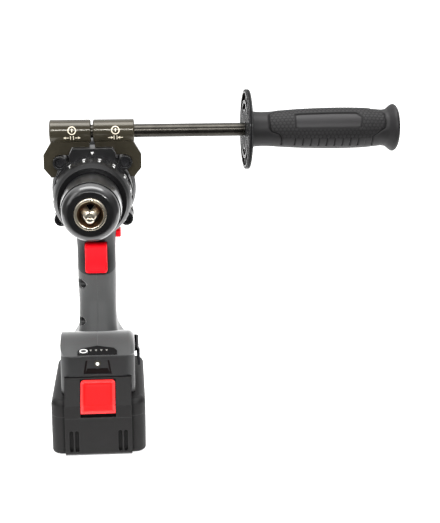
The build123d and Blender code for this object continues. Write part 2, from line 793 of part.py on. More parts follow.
# Hammer ratchets: one on the spindle, one held in the gear case
with BuildPart() as spindle_ratchet:
    with BuildSketch(front_plane(RATCHET_FACE_Y)):
        Circle(RATCHET_R)
        Circle(SPINDLE_R, mode=Mode.SUBTRACT)
    extrude(amount=RATCHET_T + RATCHET_TOOTH_H)
    extrude(
        ratchet_slots(RATCHET_FACE_Y, SPINDLE_R),
        amount=RATCHET_TOOTH_H,
        mode=Mode.SUBTRACT,
    )
save(spindle_ratchet, "spindle_ratchet")

with BuildPart() as fixed_ratchet:
    with BuildSketch(front_plane(FIXED_REAR_Y)):
        Circle(BEARING_R)
        Circle(SPINDLE_NECK_R + RUN_GAP, mode=Mode.SUBTRACT)
    extrude(amount=RATCHET_T + RATCHET_TOOTH_H)
    extrude(
        ratchet_slots(FIXED_FACE_Y, SPINDLE_NECK_R),
        amount=-RATCHET_TOOTH_H,
        mode=Mode.SUBTRACT,
    )
save(fixed_ratchet, "fixed_ratchet")

# Torque collar: coned ring with finger flutes, open over the gear case nose
with BuildPart() as torque_collar:
    seat_front_y = FLANGE_FRONT_Y - COLLAR_SEAT_L
    with BuildSketch(SPINDLE_SIDE):
        with BuildLine():
            Polyline(
                (COLLAR_FRONT_Y, COLLAR_LIP_R),
                (COLLAR_FRONT_Y, COLLAR_FRONT_R),
                (COLLAR_FRONT_Y + COLLAR_NECK_BACK, COLLAR_NECK_R),
            )
            Spline(
                (COLLAR_FRONT_Y + COLLAR_NECK_BACK, COLLAR_NECK_R),
                (COLLAR_FRONT_Y + COLLAR_WIDE_BACK, COLLAR_R),
                (COLLAR_REAR_Y, COLLAR_REAR_R),
            )
            Polyline(
                (COLLAR_REAR_Y, COLLAR_REAR_R),
                (COLLAR_REAR_Y, COLLAR_SEAT_R + RUN_GAP),
                (COLLAR_FRONT_Y + COLLAR_LIP_T, COLLAR_SEAT_R + RUN_GAP),
                (COLLAR_FRONT_Y + COLLAR_LIP_T, COLLAR_LIP_R),
                (COLLAR_FRONT_Y, COLLAR_LIP_R),
            )
        make_face()
    revolve(axis=SPINDLE_AXIS)
    with BuildSketch(front_plane(COLLAR_REAR_Y)):
        with PolarLocations(COLLAR_R + COLLAR_FLUTE_R - COLLAR_FLUTE_DEPTH, COLLAR_FLUTES):
            Circle(COLLAR_FLUTE_R)
    extrude(amount=COLLAR_LENGTH - COLLAR_FLUTE_FRONT, mode=Mode.SUBTRACT)
save(torque_collar, "torque_collar")

# Clutch spring, drawn as the sleeve that its turns fill
with BuildPart() as clutch_spring:
    with BuildSketch(front_plane(seat_front_y - RUN_GAP)):
        Circle(NOSE_TUBE_R + RUN_GAP + SPRING_T)
        Circle(NOSE_TUBE_R + RUN_GAP, mode=Mode.SUBTRACT)
    extrude(amount=seat_front_y - RUN_GAP - NOSE_TUBE_FRONT_Y)
save(clutch_spring, "clutch_spring")

BOSS_PLACES = (
    (-BOSS_TOP_X, BOSS_TOP_Z),
    (BOSS_TOP_X, BOSS_TOP_Z),
    (-BOSS_LOW_X, BOSS_LOW_Z),
    (BOSS_LOW_X, BOSS_LOW_Z),
)

# Gear case: bearing nose, flange with four screw bosses and a clamp pad, and a rear spigot
with BuildPart() as gear_case:
    with BuildSketch(front_plane(FLANGE_REAR_Y)):
        Circle(FLANGE_R)
        for x, z in BOSS_PLACES:
            with Locations((x, z)):
                Circle(BOSS_R)
            Polygon((0, 0), (x, z + BOSS_R), (x + (BOSS_R if x > 0 else -BOSS_R), z), align=None)
            Polygon((0, 0), (x, z - BOSS_R), (x, z + BOSS_R), align=None)
        Polygon(
            (-PAD_FOOT_HALF_W, 0),
            (PAD_FOOT_HALF_W, 0),
            (PAD_FOOT_HALF_W, PAD_FOOT),
            (PAD_HALF_W, PAD_TOP),
            (-PAD_HALF_W, PAD_TOP),
            (-PAD_FOOT_HALF_W, PAD_FOOT),
            align=None,
        )
    extrude(amount=FLANGE_LENGTH)
    with BuildSketch(SPINDLE_SIDE):
        with BuildLine():
            Polyline(
                (NOSE_TUBE_FRONT_Y, 0),
                (NOSE_TUBE_FRONT_Y, NOSE_TUBE_R),
                (seat_front_y, NOSE_TUBE_R),
                (seat_front_y, COLLAR_SEAT_R),
                (FLANGE_FRONT_Y, COLLAR_SEAT_R),
                (FLANGE_REAR_Y, CASE_SPIGOT_R),
                (PLATE_FRONT_Y, CASE_SPIGOT_R),
                (PLATE_FRONT_Y, 0),
                close=True,
            )
        make_face()
    revolve(axis=SPINDLE_AXIS)
    with BuildSketch(SPINDLE_SIDE):
        with BuildLine():
            Polyline(
                (NOSE_TUBE_FRONT_Y, 0),
                (NOSE_TUBE_FRONT_Y, SPINDLE_R + BEARING_BACK),
                (SPINDLE_BEARING_Y, SPINDLE_R + BEARING_BACK),
                (SPINDLE_BEARING_Y, BEARING_R),
                (FIXED_REAR_Y, BEARING_R),
                (FIXED_REAR_Y, SPINDLE_NECK_R + RUN_GAP),
                (WEB_REAR_Y, SPINDLE_NECK_R + RUN_GAP),
                (WEB_REAR_Y, RING_R),
                (PLATE_FRONT_Y, RING_R),
                (PLATE_FRONT_Y, 0),
                close=True,
            )
        make_face()
    revolve(axis=SPINDLE_AXIS, mode=Mode.SUBTRACT)
    with BuildSketch(front_plane(FLANGE_FRONT_Y)):
        for x, z in BOSS_PLACES:
            with Locations((x, z)):
                Circle(CASE_SCREW_R + FIT_GAP)
    extrude(amount=-FLANGE_LENGTH, mode=Mode.SUBTRACT)
    with BuildSketch(front_plane(FLANGE_FRONT_Y)):
        for x, z in BOSS_PLACES:
            with Locations((x, z)):
                Circle(CASE_SCREW_HEAD_R + RUN_GAP)
    extrude(amount=-CASE_SCREW_HEAD_H - CASE_SCREW_SINK, mode=Mode.SUBTRACT)
save(gear_case, "gear_case")

with BuildPart() as gear_case_screws:
    head_front_y = FLANGE_FRONT_Y + CASE_SCREW_SINK
    with BuildSketch(front_plane(head_front_y)):
        for x, z in BOSS_PLACES:
            with Locations((x, z)):
                Circle(CASE_SCREW_HEAD_R)
                RegularPolygon(CASE_SCREW_R, 6, mode=Mode.SUBTRACT)
    extrude(amount=-CASE_SCREW_HEAD_H)
    with BuildSketch(front_plane(head_front_y + CASE_SCREW_HEAD_H / 2)):
        for x, z in BOSS_PLACES:
            with Locations((x, z)):
                Circle(CASE_SCREW_R)
    extrude(amount=-CASE_SCREW_L + CASE_SCREW_HEAD_H)
save(gear_case_screws, "gear_case_screws")

# Ring gear shared by both stages
with BuildPart() as ring_gear:
    with BuildSketch(front_plane(PLATE_FRONT_Y)):
        Circle(RING_R)
        with BuildLine():
            Polyline(
                *gear_outline(RING_TEETH, RING_ROOT_R, RING_TIP_R, -BACKLASH, PLANET_ANGLES[0]),
                close=True,
            )
        make_face(mode=Mode.SUBTRACT)
    extrude(amount=PLATE_FRONT_Y - WEB_REAR_Y)
save(ring_gear, "ring_gear")

# Planets of both stages
for stage, rear_y in (("first", FIRST_REAR_Y), ("second", SECOND_REAR_Y)):
    for number, angle in enumerate(PLANET_ANGLES, start=1):
        with BuildPart() as planet:
            with BuildSketch(front_plane(rear_y)):
                with BuildLine():
                    Polyline(*planet_outline(angle), close=True)
                make_face()
                with Locations(planet_centre(angle)):
                    Circle(PLANET_PIN_R + FIT_GAP, mode=Mode.SUBTRACT)
            extrude(amount=PLANET_W)
        save(planet, f"{stage}_planet_{number}")

# First carrier: disc with three pins behind and the second sun gear in front
with BuildPart() as first_carrier:
    with BuildSketch(front_plane(CARRIER_REAR_Y)):
        Circle(carrier_r)
    extrude(amount=CARRIER_T)
    with BuildSketch(front_plane(CARRIER_REAR_Y - CARRIER_T)):
        with BuildLine():
            Polyline(*sun_outline(), close=True)
        make_face()
    extrude(amount=PLANET_W + STAGE_GAP)
    with BuildSketch(front_plane(FIRST_REAR_Y)):
        for angle in PLANET_ANGLES:
            with Locations(planet_centre(angle)):
                Circle(PLANET_PIN_R)
    extrude(amount=FIRST_REAR_Y - CARRIER_REAR_Y)
save(first_carrier, "first_carrier")

# Gear plate: closes the gear case and holds the motor's front bearing
with BuildPart() as gear_plate:
    with BuildSketch(SPINDLE_SIDE):
        boss_rear_y = FRONT_BEARING_Y + MOTOR_BEARING_W
        boss_r = MOTOR_BEARING_R + BEARING_BOSS_WALL
        with BuildLine():
            Polyline(
                (PLATE_FRONT_Y, SHAFT_R + BEARING_BOSS_WALL),
                (PLATE_FRONT_Y, CASE_SPIGOT_R),
                (PLATE_REAR_Y, CASE_SPIGOT_R),
                (PLATE_REAR_Y, boss_r),
                (boss_rear_y, boss_r),
                (boss_rear_y, MOTOR_BEARING_R),
                (FRONT_BEARING_Y, MOTOR_BEARING_R),
                (FRONT_BEARING_Y, SHAFT_R + BEARING_BOSS_WALL),
                close=True,
            )
        make_face()
    revolve(axis=SPINDLE_AXIS)
save(gear_plate, "gear_plate")

with BuildPart() as motor_bearings:
    for bearing_y in (FRONT_BEARING_Y, REAR_BEARING_Y):
        with BuildSketch(front_plane(bearing_y + MOTOR_BEARING_W)):
            Circle(MOTOR_BEARING_R)
            Circle(SHAFT_R + FIT_GAP, mode=Mode.SUBTRACT)
        extrude(amount=MOTOR_BEARING_W)
save(motor_bearings, "motor_bearings")

# Motor shaft with the first sun gear cut on its front end
with BuildPart() as motor_shaft:
    with BuildSketch(front_plane(FIRST_REAR_Y)):
        with BuildLine():
            Polyline(*sun_outline(), close=True)
        make_face()
    extrude(amount=PLANET_W)
    with BuildSketch(front_plane(SHAFT_REAR_Y)):
        Circle(SHAFT_R)
    extrude(amount=SHAFT_REAR_Y - FIRST_REAR_Y)
save(motor_shaft, "motor_shaft")

ROTOR_R = STATOR_BORE_R - AIR_GAP
MAGNET_ORBIT = ROTOR_R - MAGNET_DEPTH - MAGNET_T / 2

# Rotor core with four magnet pockets
with BuildPart() as rotor_core:
    with BuildSketch(front_plane(STATOR_REAR_Y)):
        Circle(ROTOR_R)
        Circle(SHAFT_R, mode=Mode.SUBTRACT)
        with PolarLocations(MAGNET_ORBIT, MAGNETS):
            Rectangle(MAGNET_T, MAGNET_W, mode=Mode.SUBTRACT)
    extrude(amount=STATOR_L)
save(rotor_core, "rotor_core")

with BuildPart() as rotor_magnets:
    with BuildSketch(front_plane(STATOR_REAR_Y)):
        with PolarLocations(MAGNET_ORBIT, MAGNETS):
            Rectangle(MAGNET_T, MAGNET_W)
    extrude(amount=STATOR_L)
save(rotor_magnets, "rotor_magnets")

# Cooling fan
with BuildPart() as fan:
    with BuildSketch(front_plane(FAN_FRONT_Y + FAN_DISC_T)):
        Circle(FAN_R)
        Circle(SHAFT_R, mode=Mode.SUBTRACT)
    extrude(amount=FAN_DISC_T)
    with BuildSketch(front_plane(FAN_REAR_Y)):
        Circle(FAN_HUB_R)
        Circle(SHAFT_R, mode=Mode.SUBTRACT)
    extrude(amount=FAN_W)
    with BuildSketch(front_plane(FAN_REAR_Y)):
        with PolarLocations((FAN_R + FAN_HUB_R) / 2, FAN_BLADES):
            Rectangle(FAN_R - FAN_HUB_R - FAN_BLADE_T, FAN_BLADE_T)
    extrude(amount=FAN_W)
save(fan, "fan")

# Stator: ring with six shoed teeth, and a coil round each tooth
with BuildPart() as stator_core:
    shoe_r = STATOR_BORE_R + STATOR_SHOE_T
    with BuildSketch(front_plane(STATOR_REAR_Y)):
        Circle(STATOR_R)
        Circle(STATOR_R - STATOR_RING, mode=Mode.SUBTRACT)
        tooth_in_r = STATOR_BORE_R + STATOR_SHOE_T / 2
        tooth_out_r = STATOR_R - STATOR_RING / 2
        with PolarLocations((tooth_in_r + tooth_out_r) / 2, STATOR_TEETH):
            Rectangle(tooth_out_r - tooth_in_r, STATOR_TOOTH_W)
        for tooth in range(STATOR_TEETH):
            with BuildLine():
                start = tooth * 360 / STATOR_TEETH - STATOR_SHOE_ANGLE / 2
                shoe = CenterArc((0, 0), shoe_r, start, STATOR_SHOE_ANGLE)
                face = CenterArc((0, 0), STATOR_BORE_R, start, STATOR_SHOE_ANGLE)
                Line(shoe @ 0, face @ 0)
                Line(shoe @ 1, face @ 1)
            make_face()
        Circle(STATOR_BORE_R, mode=Mode.SUBTRACT)
    extrude(amount=STATOR_L)
save(stator_core, "stator_core")

with BuildPart() as stator_coils:
    coil_inner_r = shoe_r + COIL_INSET
    coil_outer_r = STATOR_R - STATOR_RING - COIL_INSET
    with BuildSketch(front_plane(STATOR_REAR_Y + COIL_T + FIT_GAP)):
        with PolarLocations((coil_inner_r + coil_outer_r) / 2, STATOR_TEETH):
            Rectangle(coil_outer_r - coil_inner_r, STATOR_TOOTH_W + 2 * COIL_T)
    extrude(amount=STATOR_L + 2 * COIL_T + 2 * FIT_GAP)
    with BuildSketch(front_plane(STATOR_REAR_Y + FIT_GAP)):
        with PolarLocations((coil_inner_r + coil_outer_r) / 2, STATOR_TEETH):
            Rectangle(coil_outer_r - coil_inner_r, STATOR_TOOTH_W + 2 * FIT_GAP)
    extrude(amount=STATOR_L + 2 * FIT_GAP, mode=Mode.SUBTRACT)
save(stator_coils, "stator_coils")


def foot_shape(inset, bottom):
    """Foot whose rounded top falls to the rear, drawn in by an inset."""
    top_line = [(y, z - inset) for y, z in FOOT_TOP_LINE]
    front_y = top_line[0][0]
    rear_y = top_line[-1][0]
    with BuildPart() as shape:
        with BuildSketch(SIDE):
            with BuildLine():
                Spline(*top_line)
                Polyline(top_line[-1], (rear_y, 0), (front_y, 0), top_line[0])
            make_face()
        extrude(amount=FOOT_HALF_W - inset, both=True)
        top_face = shape.faces().sort_by(Axis.Z)[-1]
        fillet(top_face.edges().filter_by(GeomType.BSPLINE), FOOT_EDGE_R - inset)
        with BuildSketch(Plane.XY.offset(bottom)):
            with Locations((0, (FOOT_FRONT_Y + FOOT_REAR_Y) / 2)):
                RectangleRounded(
                    2 * (FOOT_HALF_W - inset),
                    FOOT_REAR_Y - FOOT_FRONT_Y - 2 * inset,
                    FOOT_CORNER_R - inset,
                )
        extrude(amount=FOOT_H, mode=Mode.INTERSECT)
    return shape.part


def body_shape(inset, foot_bottom):
    """Barrel, grip and foot as one solid, drawn in by an inset on every outer face."""
    with BuildPart() as shape:
        rear_y = BARREL_REAR_Y - inset
        dome_y = BARREL_REAR_Y - BARREL_DOME
        front_y = FLANGE_REAR_Y
        with BuildSketch(SPINDLE_SIDE):
            with BuildLine():
                Polyline(
                    (rear_y, 0),
                    (front_y, 0),
                    (front_y, BARREL_FRONT_R - inset),
                    (front_y + BARREL_FLARE, BARREL_R - inset),
                    (dome_y, BARREL_R - inset),
                )
                Spline(
                    (dome_y, BARREL_R - inset),
                    (rear_y, BARREL_END_R - inset),
                    tangents=((1, 0), (0.25, -1)),
                )
                Line((rear_y, BARREL_END_R - inset), (rear_y, 0))
            make_face()
        revolve(axis=SPINDLE_AXIS)
        for height, half_w, front, rear, corner in GRIP_SECTIONS:
            with BuildSketch(Plane.XY.offset(height)):
                with Locations((0, (front + rear) / 2)):
                    RectangleRounded(2 * (half_w - inset), rear - front - 2 * inset, corner - inset)
        loft()
        add(foot_shape(inset, foot_bottom))
    return shape.part


CLIP_MIDDLE_H = CLIP_LOW + CLIP_WIDTH / 2
outer_shape = body_shape(0, RAIL_BOTTOM)
cover_inner_shape = body_shape(COVER_T, RAIL_BOTTOM)
cavity_shape = body_shape(COVER_T + WALL, FOOT_H + FOOT_FLOOR_T)

# Space inside the housing, less the posts, ribs and webs that stay as material
with BuildPart() as cavity:
    add(cavity_shape)
    with BuildSketch(SIDE):
        for y, z in HOUSING_SCREW_PLACES:
            with Locations((y, z)):
                Circle(POST_R)
    extrude(amount=BARREL_R, both=True, mode=Mode.SUBTRACT)
    for flank_x in (-FOOT_HALF_W, FOOT_HALF_W - CLIP_T - CLIP_BOSS_L):
        with BuildSketch(SIDE.offset(flank_x)):
            with Locations((CLIP_SCREW_Y, CLIP_MIDDLE_H)):
                Circle(CLIP_BOSS_R)
        extrude(amount=CLIP_T + CLIP_BOSS_L, mode=Mode.SUBTRACT)
    for rib_y, rib_w, rib_r in (
        (PLATE_REAR_Y + PLATE_RIB_W + RUN_GAP, PLATE_RIB_W, PLATE_RIB_R),
        (STATOR_FRONT_Y + STATOR_RIB_W + COIL_T, STATOR_RIB_W, STATOR_R + RUN_GAP / 3),
        (STATOR_REAR_Y - COIL_T, STATOR_RIB_W, STATOR_R + RUN_GAP / 3),
        (SHAFT_REAR_Y, MOTOR_BEARING_W, MOTOR_BEARING_R),
    ):
        with BuildSketch(front_plane(rib_y)):
            Circle(BARREL_R)
            Circle(rib_r, mode=Mode.SUBTRACT)
            with Locations((0, -BARREL_R)):
                Rectangle(2 * SWITCH_HALF_W, BARREL_R, mode=Mode.SUBTRACT)
        extrude(amount=rib_w, mode=Mode.SUBTRACT)
    with BuildSketch(front_plane(PLATE_REAR_Y + RUN_GAP)):
        Circle(CASE_SPIGOT_R + RUN_GAP)
    extrude(amount=PLATE_REAR_Y + RUN_GAP - FLANGE_REAR_Y)

# Side outline of the grey covers: foot top, grip and barrel flanks, clear of the trigger
with BuildPart() as cover_region:
    with BuildSketch(SIDE):
        top_z = SPINDLE_H + COVER_TOP
        low_z = SPINDLE_H - COVER_TOP
        grip_top = GRIP_SECTIONS[-2][0]
        front_y = FOOT_FRONT_Y - FOOT_CORNER_R
        dip_z = COVER_TRIGGER_H - COVER_TRIGGER_RISE * (COVER_TRIGGER_Y - front_y)
        with BuildLine():
            Polyline(
                (front_y, COVER_FOOT_LINE),
                (BARREL_REAR_Y, COVER_FOOT_LINE - COVER_FOOT_FALL),
                (BARREL_REAR_Y, grip_top),
                (COVER_REAR_Y, low_z),
                (COVER_REAR_Y - VENT_PITCH, top_z),
                (COVER_FRONT_Y + VENT_PITCH, top_z),
                (COVER_FRONT_Y, low_z),
                (COVER_TRIGGER_Y, grip_top),
                (COVER_TRIGGER_Y, COVER_TRIGGER_H),
                (front_y, dip_z),
                close=True,
            )
        make_face()
    extrude(amount=BARREL_R + BOSS_R, both=True)

GAUGE_OUTLINE = (
    (-GAUGE_HALF_W, -GAUGE_HALF_L),
    (GAUGE_HALF_W, -GAUGE_HALF_L),
    (GAUGE_HALF_W, GAUGE_HALF_L - GAUGE_CORNER),
    (GAUGE_HALF_W - GAUGE_CORNER, GAUGE_HALF_L),
    (0, GAUGE_HALF_L + GAUGE_PEAK),
    (-GAUGE_HALF_W + GAUGE_CORNER, GAUGE_HALF_L),
    (-GAUGE_HALF_W, GAUGE_HALF_L - GAUGE_CORNER),
)

# Everything cut through the housing and its covers
with BuildPart() as openings:
    # Trigger window
    with BuildSketch(front_plane(SWITCH_FRONT_Y)):
        with Locations((0, (TRIGGER_LOW + TRIGGER_TOP) / 2 - SPINDLE_H)):
            Rectangle(
                2 * (TRIGGER_HALF_W + SLIDE_GAP), TRIGGER_TOP - TRIGGER_LOW + 2 * SLIDE_GAP
            )
    extrude(amount=SWITCH_FRONT_Y - TRIGGER_FRONT_Y)
    # Direction selector slot
    with BuildSketch(SIDE):
        with Locations((SELECTOR_Y, SELECTOR_H)):
            Rectangle(SELECTOR_WIDTH + 2 * SLIDE_GAP, SELECTOR_HEIGHT + 2 * SLIDE_GAP)
    extrude(amount=BARREL_R, both=True)
    # Speed selector track and its stem slot
    track_h = SPINDLE_H + BARREL_R - SPEED_SINK
    track_l = SPEED_LENGTH + SPEED_TRAVEL + 2 * SLIDE_GAP
    track_y = SPEED_FRONT_Y - SLIDE_GAP + track_l / 2
    with BuildSketch(Plane.XY.offset(track_h)):
        with Locations((0, track_y)):
            Rectangle(2 * (SPEED_HALF_W + SLIDE_GAP), track_l)
    extrude(amount=BARREL_R)
    with BuildSketch(Plane.XY.offset(track_h)):
        stem_slot_l = SPEED_STEM_L + SPEED_TRAVEL + 2 * SLIDE_GAP
        with Locations((0, track_y)):
            Rectangle(2 * (SPEED_STEM_HALF_W + SLIDE_GAP), stem_slot_l)
    extrude(amount=-SPEED_STEM_H - SLIDE_GAP)
    # Air slots beside the fan
    with BuildSketch(SIDE):
        for slot in range(VENTS):
            with Locations((VENT_FRONT_Y + slot * VENT_PITCH, SPINDLE_H)):
                SlotOverall(VENT_H, VENT_W, rotation=90)
    extrude(amount=BARREL_R, both=True)
    # Air slots in the rear dome
    with BuildSketch(front_plane(BARREL_REAR_Y)):
        with GridLocations(0, VENT_PITCH, 1, VENTS):
            SlotOverall(VENT_H, VENT_W)
    extrude(amount=COVER_T + WALL + RUN_GAP)
    # Work light: recess and bore
    with BuildSketch(Plane.XZ.offset(-FOOT_FRONT_Y)):
        with BuildLine():
            Polyline(
                (-LIGHT_RECESS_HALF_W, LIGHT_RECESS_LOW),
                (LIGHT_RECESS_HALF_W, LIGHT_RECESS_LOW),
                (LIGHT_RECESS_TOP_HALF_W, LIGHT_RECESS_TOP),
                (-LIGHT_RECESS_TOP_HALF_W, LIGHT_RECESS_TOP),
                close=True,
            )
        make_face()
    extrude(amount=-LIGHT_RECESS_DEPTH)
    with BuildSketch(Plane((0, FOOT_FRONT_Y, LIGHT_H), x_dir=(1, 0, 0), z_dir=(0, -1, 0))):
        Circle(LIGHT_R + RUN_GAP)
    extrude(amount=-LIGHT_DEPTH)
    # Rails that the battery slides on
    with BuildSketch(Plane.XZ.offset(-FOOT_REAR_Y + FOOT_END_WALL)):
        with BuildLine():
            Polyline(
                (-RAIL_NECK_HALF_W, RAIL_BOTTOM - RUN_GAP),
                (RAIL_NECK_HALF_W, RAIL_BOTTOM - RUN_GAP),
                (RAIL_NECK_HALF_W, RAIL_LIP_TOP),
                (RAIL_SLOT_HALF_W, RAIL_LIP_TOP),
                (RAIL_SLOT_HALF_W, FOOT_H),
                (-RAIL_SLOT_HALF_W, FOOT_H),
                (-RAIL_SLOT_HALF_W, RAIL_LIP_TOP),
                (-RAIL_NECK_HALF_W, RAIL_LIP_TOP),
                close=True,
            )
        make_face()
    extrude(amount=FOOT_REAR_Y - FOOT_FRONT_Y)
    # Terminal block window in the foot's floor
    with BuildSketch(Plane.XY.offset(FOOT_H)):
        with Locations((0, (TERMINAL_FRONT_Y + TERMINAL_REAR_Y) / 2)):
            Rectangle(
                2 * (TERMINAL_HALF_W + RUN_GAP),
                TERMINAL_REAR_Y - TERMINAL_FRONT_Y + 2 * RUN_GAP,
            )
    extrude(amount=FOOT_FLOOR_T)
    # Belt clip seats on both flanks, and their screw holes
    for flank in (Plane.YZ.offset(FOOT_HALF_W), Plane((-FOOT_HALF_W, 0, 0), (0, 1, 0), (-1, 0, 0))):
        side = 1 if flank.z_dir.X > 0 else -1
        with BuildSketch(flank):
            seat_front = CLIP_START_Y - CLIP_T / 2 - SLIDE_GAP
            seat_rear = CLIP_BEND_Y + CLIP_BEND_R + CLIP_T
            with Locations((((seat_front + seat_rear) / 2), side * CLIP_MIDDLE_H)):
                Rectangle(seat_rear - seat_front, CLIP_WIDTH + 2 * SLIDE_GAP)
        extrude(amount=-CLIP_T)
        with BuildSketch(flank):
            with Locations((CLIP_SCREW_Y, side * CLIP_MIDDLE_H)):
                Circle(CLIP_HOLE_R if side < 0 else CLIP_SCREW_R + FIT_GAP)
        extrude(amount=-CLIP_T - CLIP_BOSS_L)
    # Gauge panel pocket and the room behind its button
    with BuildSketch(GAUGE_PLANE):
        with BuildLine():
            Polyline(*GAUGE_OUTLINE, close=True)
        make_face()
        offset(amount=FIT_GAP, kind=Kind.INTERSECTION)
    extrude(amount=GAUGE_T * 4)
    with BuildSketch(GAUGE_PLANE):
        with Locations((GAUGE_BUTTON_X, 0)):
            SlotOverall(GAUGE_BUTTON_L + 2 * SLIDE_GAP, GAUGE_BUTTON_W + 2 * SLIDE_GAP)
    extrude(amount=-GAUGE_BUTTON_T)


# Screw towers at the barrel's front corners
with BuildPart() as towers:
    with BuildSketch(front_plane(FLANGE_REAR_Y + TOWER_LENGTH)):
        for x, z in BOSS_PLACES:
            with Locations((x, z)):
                Circle(TOWER_R)
    extrude(amount=TOWER_LENGTH)
    chamfer(towers.edges().filter_by(GeomType.CIRCLE).group_by(Axis.Y)[-1], TOWER_R / 2)

# Holes for the case screws and the housing screws
with BuildPart() as screw_holes:
    with BuildSketch(front_plane(FLANGE_REAR_Y)):
        for x, z in BOSS_PLACES:
            with Locations((x, z)):
                Circle(CASE_SCREW_R + FIT_GAP)
    extrude(amount=-TOWER_LENGTH + WALL / 2)
    with BuildSketch(SIDE.offset(HOUSING_SCREW_SEAT_X)):
        for y, z in HOUSING_SCREW_PLACES:
            with Locations((y, z)):
                Circle(HOUSING_SCREW_R + FIT_GAP)
    extrude(amount=HOUSING_SCREW_L + RUN_GAP)
    with BuildSketch(SIDE.offset(HOUSING_SCREW_SEAT_X)):
        for y, z in HOUSING_SCREW_PLACES:
            with Locations((y, z)):
                Circle(HOUSING_SCREW_HEAD_R + HOUSING_SCREW_RECESS_GAP)
    extrude(amount=-BARREL_R)

# The grey cover as one skin, before it is parted
with BuildPart() as cover:
    add(outer_shape)
    add(cover_inner_shape, mode=Mode.SUBTRACT)
    add(cover_region.part, mode=Mode.INTERSECT)
    add(towers.part, mode=Mode.SUBTRACT)

# The black housing as one shell, before it is parted
with BuildPart() as housing:
    add(outer_shape)
    add(cover.part, mode=Mode.SUBTRACT)
    add(towers.part)
    add(cavity.part, mode=Mode.SUBTRACT)
    add(openings.part, mode=Mode.SUBTRACT)
    add(screw_holes.part, mode=Mode.SUBTRACT)

with BuildPart() as left_housing:
    add(housing.part)
    split(bisect_by=Plane.YZ, keep=Keep.BOTTOM)
save(left_housing, "left_housing")

with BuildPart() as right_housing:
    add(housing.part)
    split(bisect_by=Plane.YZ, keep=Keep.TOP)
save(right_housing, "right_housing")

with BuildPart() as left_cover:
    add(cover.part)
    add(openings.part, mode=Mode.SUBTRACT)
    add(screw_holes.part, mode=Mode.SUBTRACT)
    split(bisect_by=Plane.YZ, keep=Keep.BOTTOM)
save(left_cover, "left_cover")

with BuildPart() as right_cover:
    add(cover.part)
    add(openings.part, mode=Mode.SUBTRACT)
    split(bisect_by=Plane.YZ, keep=Keep.TOP)
save(right_cover, "right_cover")

# Housing screws, and the belt clip's screw beside them
with BuildPart() as housing_screws:
    with BuildSketch(SIDE.offset(HOUSING_SCREW_SEAT_X)):
        for y, z in HOUSING_SCREW_PLACES:
            with Locations((y, z)):
                Circle(HOUSING_SCREW_R)
    extrude(amount=HOUSING_SCREW_L)
    with BuildSketch(SIDE.offset(HOUSING_SCREW_SEAT_X)):
        for y, z in HOUSING_SCREW_PLACES:
            with Locations((y, z)):
                Circle(HOUSING_SCREW_HEAD_R)
    extrude(amount=-HOUSING_SCREW_HEAD_H)
    with BuildSketch(SIDE.offset(HOUSING_SCREW_SEAT_X - HOUSING_SCREW_HEAD_H)):
        for y, z in HOUSING_SCREW_PLACES:
            with Locations((y, z)):
                Rectangle(HOUSING_SCREW_R * 2, HOUSING_SCREW_R / 2)
                Rectangle(HOUSING_SCREW_R / 2, HOUSING_SCREW_R * 2)
    extrude(amount=HOUSING_SCREW_HEAD_H / 2, mode=Mode.SUBTRACT)
    with BuildSketch(SIDE.offset(FOOT_HALF_W)):
        with Locations((CLIP_SCREW_Y, CLIP_MIDDLE_H)):
            Circle(CLIP_SCREW_HEAD_R)
    extrude(amount=CLIP_SCREW_HEAD_H)
    with BuildSketch(SIDE.offset(FOOT_HALF_W)):
        with Locations((CLIP_SCREW_Y, CLIP_MIDDLE_H)):
            Circle(CLIP_SCREW_R)
    extrude(amount=-CLIP_SCREW_L + RUN_GAP)
save(housing_screws, "housing_screws")

# Trigger: finger hollow in front, plunger stem behind
with BuildPart() as trigger:
    lip = (TRIGGER_TOP - TRIGGER_LOW) / 8
    middle_h = (TRIGGER_TOP + TRIGGER_LOW) / 2
    with BuildSketch(SIDE) as trigger_side:
        with BuildLine():
            Polyline(
                (TRIGGER_FRONT_Y, TRIGGER_LOW),
                (TRIGGER_REAR_Y, TRIGGER_LOW),
                (TRIGGER_REAR_Y, TRIGGER_TOP),
                (TRIGGER_FRONT_Y, TRIGGER_TOP),
            )
            ThreePointArc(
                (TRIGGER_FRONT_Y, TRIGGER_TOP),
                (TRIGGER_FRONT_Y + TRIGGER_HOLLOW, middle_h),
                (TRIGGER_FRONT_Y, TRIGGER_LOW),
            )
        make_face()
        fillet(trigger_side.vertices().group_by(Axis.X)[0], lip)
    extrude(amount=TRIGGER_HALF_W, both=True)
    side_edges = trigger.faces().filter_by(Axis.X).edges()
    fillet(side_edges.filter_by(lambda edge: edge.center().Y < TRIGGER_FRONT_Y + lip), TRIGGER_ROUND)
    with BuildSketch(Plane((0, TRIGGER_REAR_Y, middle_h), x_dir=(1, 0, 0), z_dir=(0, 1, 0))):
        Circle(TRIGGER_STEM_R)
    extrude(amount=SWITCH_FRONT_Y - TRIGGER_REAR_Y + TRIGGER_HOLLOW)
save(trigger, "trigger")

# Trigger switch module with the bore that the stem enters
with BuildPart() as trigger_switch:
    with BuildSketch(SIDE):
        with Locations((SWITCH_FRONT_Y + SWITCH_LENGTH / 2, (SWITCH_LOW + SWITCH_TOP) / 2)):
            RectangleRounded(SWITCH_LENGTH, SWITCH_TOP - SWITCH_LOW, SWITCH_ROUND)
    extrude(amount=SWITCH_HALF_W, both=True)
    with BuildSketch(Plane((0, SWITCH_FRONT_Y, middle_h), x_dir=(1, 0, 0), z_dir=(0, 1, 0))):
        Circle(TRIGGER_STEM_R + RUN_GAP)
    extrude(amount=SWITCH_BORE_DEPTH, mode=Mode.SUBTRACT)
save(trigger_switch, "trigger_switch")

